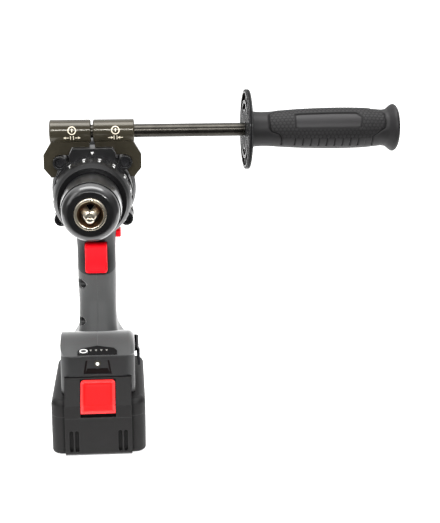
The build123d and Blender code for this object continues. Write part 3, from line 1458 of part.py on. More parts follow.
# Direction selector: a bar through the housing, standing out on one side
with BuildPart() as direction_selector:
    with BuildSketch(SIDE.offset(SELECTOR_IN_X)):
        with Locations((SELECTOR_Y, SELECTOR_H)):
            RectangleRounded(SELECTOR_WIDTH, SELECTOR_HEIGHT, SELECTOR_ROUND)
    extrude(amount=SELECTOR_OUT_X - SELECTOR_IN_X)
    end_faces = direction_selector.faces().filter_by(Axis.X)
    fillet(end_faces.edges(), SELECTOR_ROUND / 2)
save(direction_selector, "direction_selector")

# Speed selector: ribbed slide on the barrel's top with a stem through its slot
with BuildPart() as speed_selector:
    plate_h = track_h + FIT_GAP
    plate_y = SPEED_FRONT_Y + SPEED_LENGTH / 2
    stem_y = track_y - SPEED_TRAVEL / 2
    with BuildSketch(Plane.XY.offset(plate_h)):
        with Locations((0, plate_y)):
            RectangleRounded(2 * SPEED_HALF_W, SPEED_LENGTH, SPEED_PLATE_T)
    extrude(amount=SPEED_PLATE_T)
    with BuildSketch(Plane.XY.offset(plate_h + SPEED_PLATE_T)):
        with Locations((0, plate_y)):
            with GridLocations(0, 2 * SPEED_RIB_W, 1, SPEED_RIBS):
                Rectangle(2 * SPEED_HALF_W - 2 * SPEED_PLATE_T, SPEED_RIB_W)
    extrude(amount=SPEED_RIB_H)
    with BuildSketch(Plane.XY.offset(plate_h)):
        with Locations((0, stem_y)):
            Rectangle(2 * SPEED_STEM_HALF_W, SPEED_STEM_L)
    extrude(amount=-SPEED_STEM_H)
save(speed_selector, "speed_selector")

# Work light lens
with BuildPart() as light_lens:
    lens_front_y = FOOT_FRONT_Y + LIGHT_RECESS_DEPTH - LIGHT_OUT
    with BuildSketch(Plane((0, lens_front_y, LIGHT_H), x_dir=(1, 0, 0), z_dir=(0, 1, 0))):
        Circle(LIGHT_R)
    extrude(amount=LIGHT_DEPTH - LIGHT_OUT)
    fillet(light_lens.edges().group_by(Axis.Y)[0], LIGHT_OUT)
save(light_lens, "light_lens")

# Charge gauge: peaked panel and its push button
with BuildPart() as gauge_panel:
    with BuildSketch(GAUGE_PLANE):
        with BuildLine():
            Polyline(*GAUGE_OUTLINE, close=True)
        make_face()
        with Locations((GAUGE_BUTTON_X, 0)):
            SlotOverall(
                GAUGE_BUTTON_L + 2 * SLIDE_GAP,
                GAUGE_BUTTON_W + 2 * SLIDE_GAP,
                mode=Mode.SUBTRACT,
            )
    extrude(amount=GAUGE_T)
save(gauge_panel, "gauge_panel")

with BuildPart() as gauge_button:
    with BuildSketch(GAUGE_PLANE.offset(GAUGE_T + GAUGE_BUTTON_OUT)):
        with Locations((GAUGE_BUTTON_X, 0)):
            SlotOverall(GAUGE_BUTTON_L, GAUGE_BUTTON_W)
    extrude(amount=-GAUGE_BUTTON_T - GAUGE_BUTTON_OUT)
save(gauge_button, "gauge_button")

# Terminal block with the three blades that enter the battery
with BuildPart() as terminal_block:
    block_bottom = FOOT_H + FIT_GAP
    with BuildSketch(Plane.XY.offset(block_bottom)):
        with Locations((0, (TERMINAL_FRONT_Y + TERMINAL_REAR_Y) / 2)):
            Rectangle(2 * TERMINAL_HALF_W, TERMINAL_REAR_Y - TERMINAL_FRONT_Y)
    extrude(amount=TERMINAL_TOP - block_bottom)
    with BuildSketch(Plane.XY.offset(block_bottom)):
        for x in BLADE_XS:
            with Locations((x, BLADE_FRONT_Y + BLADE_LENGTH / 2)):
                Rectangle(BLADE_T, BLADE_LENGTH)
    extrude(amount=BLADE_BOTTOM - block_bottom)
save(terminal_block, "terminal_block")

# Control board with its finned heat sink
with BuildPart() as control_board:
    board_h = FOOT_H + FOOT_FLOOR_T + FIT_GAP
    board_y = (BOARD_FRONT_Y + BOARD_REAR_Y) / 2
    board_l = BOARD_REAR_Y - BOARD_FRONT_Y
    with BuildSketch(Plane.XY.offset(board_h)):
        with Locations((0, board_y)):
            Rectangle(2 * BOARD_HALF_W, board_l)
    extrude(amount=BOARD_T)
    with BuildSketch(Plane.XY.offset(board_h + BOARD_T)):
        with Locations((0, board_y)):
            with GridLocations(4 * BOARD_T, 0, 5, 1):
                Rectangle(2 * BOARD_T, board_l - 4 * BOARD_T)
    extrude(amount=BOARD_HEAT_SINK_H)
save(control_board, "control_board")

# Belt clip: a strip bent into a narrow U beside the foot
with BuildPart() as belt_clip:
    leg_x = FOOT_HALF_W - CLIP_T / 2
    free_x = leg_x + 2 * CLIP_BEND_R
    with BuildSketch(Plane.XY.offset(CLIP_LOW)):
        with BuildLine() as clip_path:
            Line((leg_x, CLIP_START_Y), (leg_x, CLIP_BEND_Y))
            ThreePointArc(
                (leg_x, CLIP_BEND_Y),
                (leg_x + CLIP_BEND_R, CLIP_BEND_Y + CLIP_BEND_R),
                (free_x, CLIP_BEND_Y),
            )
            Line((free_x, CLIP_BEND_Y), (free_x, CLIP_END_Y))
            Line((free_x, CLIP_END_Y), (free_x + CLIP_FLARE, CLIP_END_Y - CLIP_FLARE_L))
        trace(line_width=CLIP_T)
    extrude(amount=CLIP_WIDTH)
    with BuildSketch(SIDE.offset(FOOT_HALF_W)):
        with Locations((CLIP_SCREW_Y, CLIP_MIDDLE_H)):
            Circle(CLIP_SCREW_R + FIT_GAP)
    extrude(amount=-CLIP_T, mode=Mode.SUBTRACT)
    with BuildSketch(SIDE.offset(FOOT_HALF_W)):
        with Locations((CLIP_SCREW_Y, CLIP_MIDDLE_H)):
            Circle(CLIP_SCREW_HEAD_R + RUN_GAP)
    extrude(amount=FOOT_HALF_W, mode=Mode.SUBTRACT)
save(belt_clip, "belt_clip")


def battery_plan(inset):
    """Plan outline of the battery's body, drawn in by an inset."""
    with BuildSketch(mode=Mode.PRIVATE) as plan:
        with Locations((0, (BATTERY_SIDE_Y + BATTERY_REAR_Y) / 2)):
            RectangleRounded(
                BATTERY_WIDTH - 2 * inset,
                BATTERY_REAR_Y - BATTERY_SIDE_Y - 2 * inset,
                BATTERY_CORNER_R - inset,
            )
    return plan.sketch


BATTERY_SCREW_PLACES = (
    (-BATTERY_SCREW_FRONT_X, BATTERY_FRONT_Y + BATTERY_SCREW_INSET),
    (BATTERY_SCREW_FRONT_X, BATTERY_FRONT_Y + BATTERY_SCREW_INSET),
    (-BATTERY_SCREW_REAR_X, BATTERY_REAR_Y - BATTERY_SCREW_INSET),
    (BATTERY_SCREW_REAR_X, BATTERY_REAR_Y - BATTERY_SCREW_INSET),
)


def battery_screw_circles(radius, height):
    """One circle at each battery screw, at a height."""
    with BuildSketch(Plane.XY.offset(height), mode=Mode.PRIVATE) as circles:
        with Locations(*BATTERY_SCREW_PLACES):
            Circle(radius)
    return circles.sketch


# Battery lower case: open tray with a front panel, front slots and four screw sleeves
with BuildPart() as battery_lower_case:
    inner_front_y = BATTERY_SIDE_Y + BATTERY_WALL
    with BuildSketch(Plane.XY):
        add(battery_plan(0))
    extrude(amount=BATTERY_SEAM_H)
    fillet(battery_lower_case.faces().sort_by(Axis.Z)[0].edges(), BATTERY_BOTTOM_ROUND)
    with BuildSketch(SIDE):
        with BuildLine():
            Polyline(
                (inner_front_y, 0),
                (BATTERY_FRONT_Y + BATTERY_BOTTOM_ROUND, 0),
                (BATTERY_FRONT_Y, BATTERY_BOTTOM_ROUND),
                (BATTERY_FRONT_Y, BATTERY_SEAM_H),
                (inner_front_y, BATTERY_SEAM_H),
                close=True,
            )
        make_face()
    extrude(amount=BATTERY_PANEL_HALF_W, both=True)
    with BuildSketch(Plane.XY.offset(BATTERY_FLOOR)):
        add(battery_plan(BATTERY_WALL))
    extrude(amount=BATTERY_SEAM_H, mode=Mode.SUBTRACT)
    extrude(
        battery_screw_circles(BATTERY_POST_R, BATTERY_FLOOR), amount=BATTERY_SEAM_H - BATTERY_FLOOR
    )
    extrude(
        battery_screw_circles(BATTERY_SCREW_R + FIT_GAP, 0),
        amount=BATTERY_SEAM_H,
        mode=Mode.SUBTRACT,
    )
    extrude(
        battery_screw_circles(BATTERY_SCREW_HEAD_R + RUN_GAP, 0),
        amount=BATTERY_SCREW_SINK + BATTERY_SCREW_HEAD_H,
        mode=Mode.SUBTRACT,
    )
    slot_h = BATTERY_SLOT_TOP - BATTERY_SLOT_LOW
    with BuildSketch(Plane.XZ.offset(-BATTERY_FRONT_Y)):
        for x in BATTERY_SLOT_XS:
            with Locations((x, BATTERY_SLOT_LOW + slot_h / 2), (-x, BATTERY_SLOT_LOW + slot_h / 2)):
                SlotOverall(slot_h, BATTERY_SLOT_W, rotation=90)
    extrude(amount=-BATTERY_SLOT_DEPTH, mode=Mode.SUBTRACT)
save(battery_lower_case, "battery_lower_case")

# Battery upper case: shoulders, rail head, sloped latch block and the button's pocket
with BuildPart() as battery_upper_case:
    head_half_w = RAIL_SLOT_HALF_W - SLIDE_GAP
    neck_half_w = RAIL_NECK_HALF_W - SLIDE_GAP
    head_low = RAIL_LIP_TOP + SLIDE_GAP
    block_rear_y = FOOT_FRONT_Y - SLIDE_GAP
    slope_top_y = BATTERY_FRONT_Y + BATTERY_SLOPE_BACK
    shoulder_plane = Plane.XY.offset(BATTERY_SEAM_H)
    with BuildSketch(shoulder_plane):
        add(battery_plan(0))
    extrude(amount=BATTERY_SHOULDER_H - BATTERY_SEAM_H)
    fillet(battery_upper_case.faces().sort_by(Axis.Z)[-1].edges(), BATTERY_SHOULDER_ROUND)
    with BuildSketch(SIDE):
        with BuildLine():
            Polyline(
                (BATTERY_FRONT_Y, BATTERY_SEAM_H),
                (BATTERY_FRONT_Y, BATTERY_SLOPE_H),
                (slope_top_y, BATTERY_TOP_H),
                (block_rear_y, BATTERY_TOP_H),
                (block_rear_y, BATTERY_SEAM_H),
                close=True,
            )
        make_face()
    extrude(amount=BATTERY_PANEL_HALF_W, both=True)
    with BuildSketch(Plane.XZ.offset(-HEAD_REAR_Y)):
        with BuildLine():
            Polyline(
                (-neck_half_w, BATTERY_SHOULDER_H - BATTERY_WALL),
                (neck_half_w, BATTERY_SHOULDER_H - BATTERY_WALL),
                (neck_half_w, head_low),
                (head_half_w, head_low),
                (head_half_w, BATTERY_TOP_H),
                (-head_half_w, BATTERY_TOP_H),
                (-head_half_w, head_low),
                (-neck_half_w, head_low),
                close=True,
            )
        make_face()
    extrude(amount=HEAD_REAR_Y - block_rear_y)
    with BuildSketch(shoulder_plane):
        add(battery_plan(BATTERY_WALL))
    extrude(amount=BATTERY_SHOULDER_H - BATTERY_SEAM_H - BATTERY_WALL, mode=Mode.SUBTRACT)
    head_room_front = block_rear_y + BATTERY_CORNER_R
    with BuildSketch(shoulder_plane):
        with Locations((0, (head_room_front + HEAD_REAR_Y - HEAD_WALL) / 2)):
            Rectangle(2 * (neck_half_w - HEAD_WALL), HEAD_REAR_Y - HEAD_WALL - head_room_front)
    extrude(amount=BATTERY_TOP_H - HEAD_WALL - BATTERY_SEAM_H, mode=Mode.SUBTRACT)
    slot_front_y = BLADE_FRONT_Y - BLADE_SLOT_LEAD
    with BuildSketch(Plane.XY.offset(BATTERY_TOP_H)):
        for x in BLADE_XS:
            with Locations((x, (slot_front_y + HEAD_REAR_Y) / 2)):
                Rectangle(BLADE_SLOT_W, HEAD_REAR_Y - slot_front_y)
    extrude(amount=BLADE_BOTTOM - SLIDE_GAP - BATTERY_TOP_H, mode=Mode.SUBTRACT)
    extrude(
        battery_screw_circles(BATTERY_POST_R, BATTERY_SEAM_H),
        amount=BATTERY_SHOULDER_H - BATTERY_SEAM_H - BATTERY_WALL,
    )
    extrude(
        battery_screw_circles(BATTERY_SCREW_R + FIT_GAP, BATTERY_SEAM_H),
        amount=BATTERY_SCREW_SINK + BATTERY_SCREW_L + RUN_GAP - BATTERY_SEAM_H,
        mode=Mode.SUBTRACT,
    )
    with BuildSketch(SIDE):
        pocket_low = BUTTON_LOW - BUTTON_TRAVEL - SLIDE_GAP
        pocket_step = BUTTON_STEP_H - BUTTON_TRAVEL - SLIDE_GAP
        with BuildLine():
            Polyline(
                (BATTERY_FRONT_Y - BUTTON_OUT, pocket_low),
                (BUTTON_FOOT_REAR_Y + SLIDE_GAP, pocket_low),
                (BUTTON_FOOT_REAR_Y + SLIDE_GAP, pocket_step),
                (BUTTON_REAR_Y + SLIDE_GAP, pocket_step),
                (BUTTON_REAR_Y + SLIDE_GAP, BUTTON_TOP + SLIDE_GAP),
                (BATTERY_FRONT_Y - BUTTON_OUT, BUTTON_TOP + SLIDE_GAP),
                close=True,
            )
        make_face()
    extrude(amount=BUTTON_HALF_W + SLIDE_GAP, both=True, mode=Mode.SUBTRACT)
save(battery_upper_case, "battery_upper_case")

with BuildPart() as battery_screws:
    extrude(
        battery_screw_circles(BATTERY_SCREW_HEAD_R, BATTERY_SCREW_SINK), amount=BATTERY_SCREW_HEAD_H
    )
    extrude(battery_screw_circles(BATTERY_SCREW_R, BATTERY_SCREW_SINK), amount=BATTERY_SCREW_L)
save(battery_screws, "battery_screws")

# Release button: follows the battery's front and slope, with a sunk thumb pad
with BuildPart() as release_button:
    slope_rise = BATTERY_TOP_H - BATTERY_SLOPE_H
    slope_run = BATTERY_SLOPE_BACK
    slope_l = (slope_rise**2 + slope_run**2) ** 0.5
    slope_shift = BUTTON_OUT * slope_l / slope_rise
    button_front_y = BATTERY_FRONT_Y - BUTTON_OUT
    bend_h = BATTERY_SLOPE_H + (slope_shift - BUTTON_OUT) * slope_rise / slope_run
    top_y = BATTERY_FRONT_Y - slope_shift + (BUTTON_TOP - BATTERY_SLOPE_H) * slope_run / slope_rise
    with BuildSketch(SIDE):
        with BuildLine():
            Polyline(
                (button_front_y, BUTTON_LOW),
                (button_front_y, bend_h),
                (top_y, BUTTON_TOP),
                (BUTTON_REAR_Y, BUTTON_TOP),
                (BUTTON_REAR_Y, BUTTON_STEP_H),
                (BUTTON_FOOT_REAR_Y, BUTTON_STEP_H),
                (BUTTON_FOOT_REAR_Y, BUTTON_LOW),
                close=True,
            )
        make_face()
    extrude(amount=BUTTON_HALF_W, both=True)
    side_edges = release_button.edges().filter_by(Axis.X, reverse=True).filter_by(Axis.Y, reverse=True)
    fillet(side_edges.sort_by(Axis.Y)[:4], BUTTON_ROUND)
    pad_plane = Plane(
        (0, (button_front_y + top_y) / 2, (bend_h + BUTTON_TOP) / 2),
        x_dir=(1, 0, 0),
        z_dir=(0, -slope_rise, slope_run),
    )
    pad_l = ((BUTTON_TOP - bend_h) ** 2 + (top_y - button_front_y) ** 2) ** 0.5 - 2 * BUTTON_PAD_INSET
    with BuildSketch(pad_plane):
        RectangleRounded(2 * (BUTTON_HALF_W - BUTTON_PAD_INSET), pad_l, BUTTON_ROUND)
    extrude(amount=-BUTTON_PAD_DEPTH, mode=Mode.SUBTRACT)
save(release_button, "release_button")

# Cells lying across the battery, and the straps welded to their ends
with BuildPart() as battery_cells:
    cell_middle_h = CELL_LOW_H + (CELL_ROWS - 1) * CELL_PITCH / 2
    with BuildSketch(SIDE.offset(-CELL_L / 2)):
        with Locations((CELL_CENTRE_Y, cell_middle_h)):
            with GridLocations(CELL_PITCH, CELL_PITCH, CELL_COLUMNS, CELL_ROWS):
                Circle(CELL_R)
    extrude(amount=CELL_L)
save(battery_cells, "battery_cells")

with BuildPart() as cell_straps:
    strap_w = 2 * (CELL_R - STRAP_INSET)
    strap_l = (CELL_ROWS - 1) * CELL_PITCH + strap_w
    for strap_x in (-CELL_L / 2 - STRAP_T, CELL_L / 2):
        with BuildSketch(SIDE.offset(strap_x)):
            with Locations((CELL_CENTRE_Y, cell_middle_h)):
                with GridLocations(CELL_PITCH, 0, CELL_COLUMNS, 1):
                    RectangleRounded(strap_w, strap_l, STRAP_INSET)
        extrude(amount=STRAP_T)
save(cell_straps, "cell_straps")

# Battery board and the spring clips that take the blades
with BuildPart() as battery_board:
    with BuildSketch(Plane.XY.offset(PACK_BOARD_H)):
        with Locations((0, (PACK_BOARD_FRONT_Y + PACK_BOARD_REAR_Y) / 2)):
            Rectangle(2 * PACK_BOARD_HALF_W, PACK_BOARD_REAR_Y - PACK_BOARD_FRONT_Y)
    extrude(amount=BOARD_T)
save(battery_board, "battery_board")

with BuildPart() as battery_contacts:
    clip_low = PACK_BOARD_H + BOARD_T
    leaf_x = BLADE_T / 2 + LEAF_GAP + LEAF_T / 2
    leaf_y = BLADE_FRONT_Y + BLADE_LENGTH / 2
    for x in BLADE_XS:
        with BuildSketch(Plane.XY.offset(clip_low)):
            with Locations((x, leaf_y)):
                Rectangle(2 * leaf_x + LEAF_T, LEAF_L)
        extrude(amount=LEAF_T)
        with BuildSketch(Plane.XY.offset(clip_low)):
            with Locations((x - leaf_x, leaf_y), (x + leaf_x, leaf_y)):
                Rectangle(LEAF_T, LEAF_L)
        extrude(amount=LEAF_TOP - clip_low)
save(battery_contacts, "battery_contacts")

# Clamp claws of the side handle: each hooks under one upper boss and holds the rod
for name, side, bore_gap in (("right_claw", 1, 2 * FIT_GAP), ("left_claw", -1, FIT_GAP)):
    with BuildPart() as claw:
        inner_x = CLAW_SLIT + CLAW_ROUND
        neck_x = CLAW_END_X - CLAW_ROUND
        with BuildSketch(rod_plane(side * CLAW_SLIT)):
            Circle(CLAW_R)
        extrude(amount=side * (CLAW_END_X - CLAW_SLIT))
        fillet(claw.edges().filter_by(GeomType.CIRCLE), CLAW_ROUND)
        with BuildSketch(front_plane(ROD_Y + CLAW_DEPTH / 2)):
            with BuildLine():
                Polyline(
                    (side * inner_x, ROD_RISE),
                    (side * inner_x, PAD_TOP + CLAW_HOOK_GAP),
                    (side * (PAD_HALF_W + CLAW_HOOK_GAP), PAD_TOP + CLAW_HOOK_GAP),
                    (side * (PAD_FOOT_HALF_W + 2 * CLAW_HOOK_GAP), BOSS_TOP_Z + BOSS_R + CLAW_HOOK_GAP),
                    (side * BOSS_TOP_X, BOSS_TOP_Z + BOSS_R + CLAW_HOOK_GAP),
                    (side * BOSS_TOP_X, BOSS_TOP_Z),
                    (side * CLAW_POINT_X, CLAW_POINT_Z),
                    (side * CLAW_TIP_X, CLAW_TIP_Z),
                    (side * CLAW_OUTER_X, CLAW_OUTER_LOW),
                    (side * CLAW_OUTER_X, CLAW_OUTER_TOP),
                    (side * neck_x, CLAW_NECK_Z),
                    (side * neck_x, ROD_RISE),
                    close=True,
                )
            make_face()
            with Locations((side * BOSS_TOP_X, BOSS_TOP_Z)):
                Circle(BOSS_R + CLAW_HOOK_GAP, mode=Mode.SUBTRACT)
        extrude(amount=CLAW_DEPTH)
        with BuildSketch(rod_plane(side * CLAW_SLIT)):
            Circle(ROD_R + bore_gap)
        extrude(amount=side * (CLAW_END_X - CLAW_SLIT), mode=Mode.SUBTRACT)
    save(claw, name)

# Rod of the side handle
with BuildPart() as handle_rod:
    with BuildSketch(rod_plane(ROD_LEFT_X)):
        Circle(ROD_R)
    extrude(amount=GRIP_ROD_X - ROD_LEFT_X)
    chamfer(handle_rod.edges(), ROD_R / 5)
save(handle_rod, "handle_rod")


# Rubber grip: neck at the disc, swelling barrel, waist and rounded flare
with BuildPart() as handle_sleeve:
    root_x = GUARD_X + GUARD_T
    with BuildSketch(ROD_SIDE):
        with BuildLine():
            Polyline(
                (GRIP_END_X, GRIP_END_R),
                (GRIP_END_X, 0),
                (CORE_END_X, 0),
                (CORE_END_X, CORE_R),
                (root_x, CORE_R),
                (root_x, GRIP_ROOT_R),
            )
            Spline(
                (root_x, GRIP_ROOT_R),
                (GRIP_NECK_X, GRIP_NECK_R),
                tangents=((0.5, -1), (1, 0)),
            )
            Spline(
                (GRIP_NECK_X, GRIP_NECK_R),
                *GRIP_BARREL,
                (GRIP_WAIST_X, GRIP_WAIST_R),
                tangents=((1, 0), (1, 0)),
            )
            Spline(
                (GRIP_WAIST_X, GRIP_WAIST_R),
                (GRIP_FLARE_X, GRIP_FLARE_R),
                tangents=((1, 0), (1, 0)),
            )
            Spline(
                (GRIP_FLARE_X, GRIP_FLARE_R),
                (GRIP_BULB_X, GRIP_BULB_R),
                (GRIP_END_X, GRIP_END_R),
                tangents=((1, 0), (0.1, -1)),
            )
        make_face()
    revolve(axis=ROD_AXIS)
save(handle_sleeve, "handle_sleeve")

# Handle core: guard disc with two ribbed wells, and the tube inside the grip
with BuildPart() as handle_core:
    with BuildSketch(ROD_SIDE):
        web_x = root_x - GUARD_WEB_T
        ring_in_r = GUARD_RING_R - GUARD_RING_W / 2
        ring_out_r = GUARD_RING_R + GUARD_RING_W / 2
        rim_r = GUARD_R - GUARD_RIM
        with BuildLine():
            Polyline(
                (GUARD_X, 0),
                (GUARD_X, GUARD_HUB_R),
                (web_x, GUARD_HUB_R),
                (web_x, ring_in_r),
                (GUARD_X, ring_in_r),
                (GUARD_X, ring_out_r),
                (web_x, ring_out_r),
                (web_x, rim_r),
                (GUARD_X, rim_r),
                (GUARD_X, GUARD_R),
                (root_x, GUARD_R),
                (root_x, CORE_R),
                (CORE_END_X, CORE_R),
                (CORE_END_X, 0),
                close=True,
            )
        make_face()
    revolve(axis=ROD_AXIS)
    rims = handle_core.edges().filter_by(GeomType.CIRCLE).filter_by(lambda e: e.radius > GUARD_R - FIT_GAP)
    fillet(rims, GUARD_RIM / 3)
    with BuildSketch(rod_plane(GUARD_X + GUARD_RIB_SINK)):
        with PolarLocations((GUARD_HUB_R + rim_r) / 2, GUARD_RIBS):
            Rectangle(rim_r - GUARD_HUB_R + GUARD_RIM, GUARD_RIB_W)
    extrude(amount=GUARD_T - GUARD_RIB_SINK)
    with BuildSketch(rod_plane(GUARD_X)):
        Circle(ROD_R)
    extrude(amount=GRIP_ROD_X - GUARD_X, mode=Mode.SUBTRACT)
save(handle_core, "handle_core")
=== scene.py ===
import json
import math

import bpy
import numpy as np
from mathutils import Matrix, Vector


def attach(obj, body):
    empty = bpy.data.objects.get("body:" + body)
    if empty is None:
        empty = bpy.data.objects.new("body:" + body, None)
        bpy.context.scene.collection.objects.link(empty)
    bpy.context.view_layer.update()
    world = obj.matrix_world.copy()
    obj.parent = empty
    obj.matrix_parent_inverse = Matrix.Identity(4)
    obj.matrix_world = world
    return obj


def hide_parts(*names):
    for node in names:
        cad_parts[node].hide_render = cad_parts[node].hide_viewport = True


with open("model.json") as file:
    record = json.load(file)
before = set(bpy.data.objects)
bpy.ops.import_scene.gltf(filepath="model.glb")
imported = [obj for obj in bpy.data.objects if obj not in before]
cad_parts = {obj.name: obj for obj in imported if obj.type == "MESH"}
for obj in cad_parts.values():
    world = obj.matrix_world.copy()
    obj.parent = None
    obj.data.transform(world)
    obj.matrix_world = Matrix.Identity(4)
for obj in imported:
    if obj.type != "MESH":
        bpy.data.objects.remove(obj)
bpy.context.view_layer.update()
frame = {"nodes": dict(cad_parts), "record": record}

NODES = frame["nodes"]
MM = 0.001

# Axes of the drill, in millimetres: the spindle, the side handle's rod and the work light
SPINDLE_H = 206.0
ROD_Y, ROD_H = -21.6, 253.3
LAMP_H = 71.5

# Directions, and the turn that makes a flat primitive face the front
UP, BACK, FRONT = (0, 0, 1), (0, 1, 0), (0, -1, 0)
FACE_FRONT = (math.pi / 2, 0.0, 0.0)


# Shader helpers
class Socket:
    """An output of a shader node. Python operators on it add Math nodes."""

    def __init__(self, finish, output):
        self.finish = finish
        self.output = output

    def math(self, operation, left, right):
        return self.finish.node("ShaderNodeMath", {"operation": operation}, {0: left, 1: right})

    def __add__(self, other):
        return self.math("ADD", self, other)

    def __radd__(self, other):
        return self.math("ADD", other, self)

    def __sub__(self, other):
        return self.math("SUBTRACT", self, other)

    def __rsub__(self, other):
        return self.math("SUBTRACT", other, self)

    def __mul__(self, other):
        return self.math("MULTIPLY", self, other)

    def __rmul__(self, other):
        return self.math("MULTIPLY", other, self)

    def limit(self, low, high):
        """Map low..high to 0..1 smoothly."""
        return self.finish.node(
            "ShaderNodeMapRange",
            {"interpolation_type": "SMOOTHSTEP"},
            {"Value": self, "From Min": low, "From Max": high, "To Min": 0.0, "To Max": 1.0},
        )


class Finish:
    """One procedural material, built node by node."""

    ROUNDING_SAMPLES = 10
    HOLLOW_SAMPLES = 6

    def __init__(self, name, **constants):
        self.material = bpy.data.materials.new(name)
        self.material.use_nodes = True
        self.tree = self.material.node_tree
        self.shader = self.tree.nodes["Principled BSDF"]
        self.coordinates = self.node("ShaderNodeTexCoord", out="Object")
        for socket, value in constants.items():
            self.shader.inputs[socket.replace("_", " ")].default_value = value

    def node(self, kind, settings=None, sockets=None, out=0):
        """Add a node with its settings, then the values or links of its sockets."""
        made = self.tree.nodes.new(kind)
        for key, value in (settings or {}).items():
            setattr(made, key, value)
        for key, value in (sockets or {}).items():
            if isinstance(value, Socket):
                self.tree.links.new(value.output, made.inputs[key])
            else:
                made.inputs[key].default_value = value
        return Socket(self, made.outputs[out])

    def feed(self, **sockets):
        """Link what varies over the surface to the shader."""
        for socket, value in sockets.items():
            self.tree.links.new(value.output, self.shader.inputs[socket.replace("_", " ")])

    def mark(self, name):
        """Value that a piece's mesh carries at its points."""
        return self.node("ShaderNodeAttribute", {"attribute_name": name}, out="Fac")

    def noise(self, scale, detail, roughness, stretch=None):
        vector = self.coordinates
        if stretch:
            vector = self.node("ShaderNodeMapping", None, {"Vector": vector, "Scale": stretch})
        sockets = {"Vector": vector, "Scale": scale, "Detail": detail, "Roughness": roughness}
        return self.node("ShaderNodeTexNoise", None, sockets, "Fac")

    def mix(self, factor, first, second):
        """Go from the first colour to the second."""
        first, second = ((*tone, 1.0) if isinstance(tone, tuple) else tone for tone in (first, second))
        sockets = {"Factor": factor, "A": first, "B": second}
        return self.node("ShaderNodeMix", {"data_type": "RGBA"}, sockets, "Result")

    def vector_math(self, operation, left, right, out=0):
        return self.node("ShaderNodeVectorMath", {"operation": operation}, {0: left, 1: right}, out)

    def from_axis(self, height):
        """Distance in metres from the line that runs front to back at a height."""
        away = self.vector_math("SUBTRACT", self.coordinates, (0.0, 0.0, height * MM))
        across = self.vector_math("MULTIPLY", away, (1.0, 0.0, 1.0))
        return self.node("ShaderNodeVectorMath", {"operation": "LENGTH"}, {0: across}, "Value")

    def rounded(self, radius):
        """Normal with every edge rounded by a radius."""
        return self.node("ShaderNodeBevel", {"samples": self.ROUNDING_SAMPLES}, {"Radius": radius})

    def edge_mask(self, radius):
        """1 along edges, 0 on flats."""
        flat = self.node("ShaderNodeNewGeometry", out="Normal")
        level = self.vector_math("DOT_PRODUCT", flat, self.rounded(radius), "Value")
        return (1.0 - level).limit(0.01, 0.12)

    def hollows(self, reach):
        """1 in slots and inner corners, 0 in the open; moulded() uses it to paint shade into them."""
        settings = {"samples": self.HOLLOW_SAMPLES, "only_local": True}
        open_sky = self.node("ShaderNodeAmbientOcclusion", settings, {"Distance": reach}, "AO")
        return 1.0 - open_sky.limit(0.45, 0.92)

    def bump(self, height, depth, normal=None):
        sockets = {"Height": height, "Distance": depth, "Strength": 1.0}
        if normal:
            sockets["Normal"] = normal
        return self.node("ShaderNodeBump", None, sockets)


class Sky(Finish):
    """Light that surrounds the drill, by direction."""

    def __init__(self, name):
        self.world = bpy.data.worlds.new(name)
        self.world.use_nodes = True
        self.tree = self.world.node_tree
        self.shader = self.tree.nodes["Background"]
        self.coordinates = self.node("ShaderNodeTexCoord", out="Generated")


def srgb(red, green, blue):
    """Shader colour of an 8-bit display colour."""
    def linear(value):
        value /= 255.0
        return value / 12.92 if value <= 0.04045 else ((value + 0.055) / 1.055) ** 2.4
    return (linear(red), linear(green), linear(blue))


def shade(colour, times, lift=0.0):
    """A colour made lighter or darker."""
    return tuple(min(1.0, c * times + lift) for c in colour)


# Finishes
def moulded(
    name, colour, rough, shine=0.32, grain=2600.0, depth=0.00003, edge=0.0004,
    wear_and_glint=0.06, polish=0.5, film=1.5, reach=0.004,
):
    """Moulded plastic: spark-eroded grain, uneven sheen, edges with a polish coat, painted lighter as wear
    and as a highlight, and hollows painted darker as shade and made duller.
    """
    f = Finish(name, Specular_IOR_Level=shine, Coat_Roughness=0.10, Coat_IOR=film)
    grain_noise = f.noise(grain, 2.0, 0.6)
    cloud = f.noise(38.0, 4.0, 0.6)
    edges = f.edge_mask(edge * 2.0)
    hollow_shade = f.hollows(reach)
    body = f.mix(cloud.limit(0.35, 0.7) * 0.5, colour, shade(colour, 1.16))
    # Edges painted lighter: partly wear, partly a painted highlight standing in for the glints of rounded
    # edges.
    tone = f.mix(edges * wear_and_glint * 8.0, body, shade(colour, 1.35, wear_and_glint * 0.25))
    f.feed(
        # Painted shade: slots and inner corners darkened towards a tenth of the colour.
        Base_Color=f.mix(hollow_shade * 0.85, tone, shade(colour, 0.1)),
        Roughness=(rough - 0.05 + cloud * 0.12) + grain_noise * 0.05 - edges * 0.10 + hollow_shade * 0.4,
        Coat_Weight=edges * (1.0 - hollow_shade) * polish,
        Normal=f.bump(grain_noise, depth, f.rounded(edge)),
    )
    return f.material


def button_red(name, pad, frame_highlight):
    """Release button: fine grain on its thumb pad, a polish coat on the frame round it with its red painted
    lighter as a highlight, and the upper wall of the scoop painted darker as shadow.
    """
    f = Finish(name, Specular_IOR_Level=0.14, Coat_Roughness=0.22)
    polish_and_highlight = f.mark("frame")
    grain = f.noise(3200.0, 2.0, 0.6)
    cloud = f.noise(60.0, 3.0, 0.6)
    body = f.mix(cloud.limit(0.3, 0.7), pad, shade(pad, 1.08))
    # Darker red painted as shadow on the scoop's upper wall.
    scoop_shadow_tone = (pad[0] * 0.86, 0.0, 0.0005)
    f.feed(
        Base_Color=f.mix(f.mark("scoop_shadow") * 0.8, f.mix(polish_and_highlight, body, frame_highlight), scoop_shadow_tone),
        Roughness=0.42 - polish_and_highlight * 0.12 + grain * 0.06,
        Coat_Weight=polish_and_highlight * 0.35,
        Normal=f.bump(grain, 0.000015),
    )
    return f.material


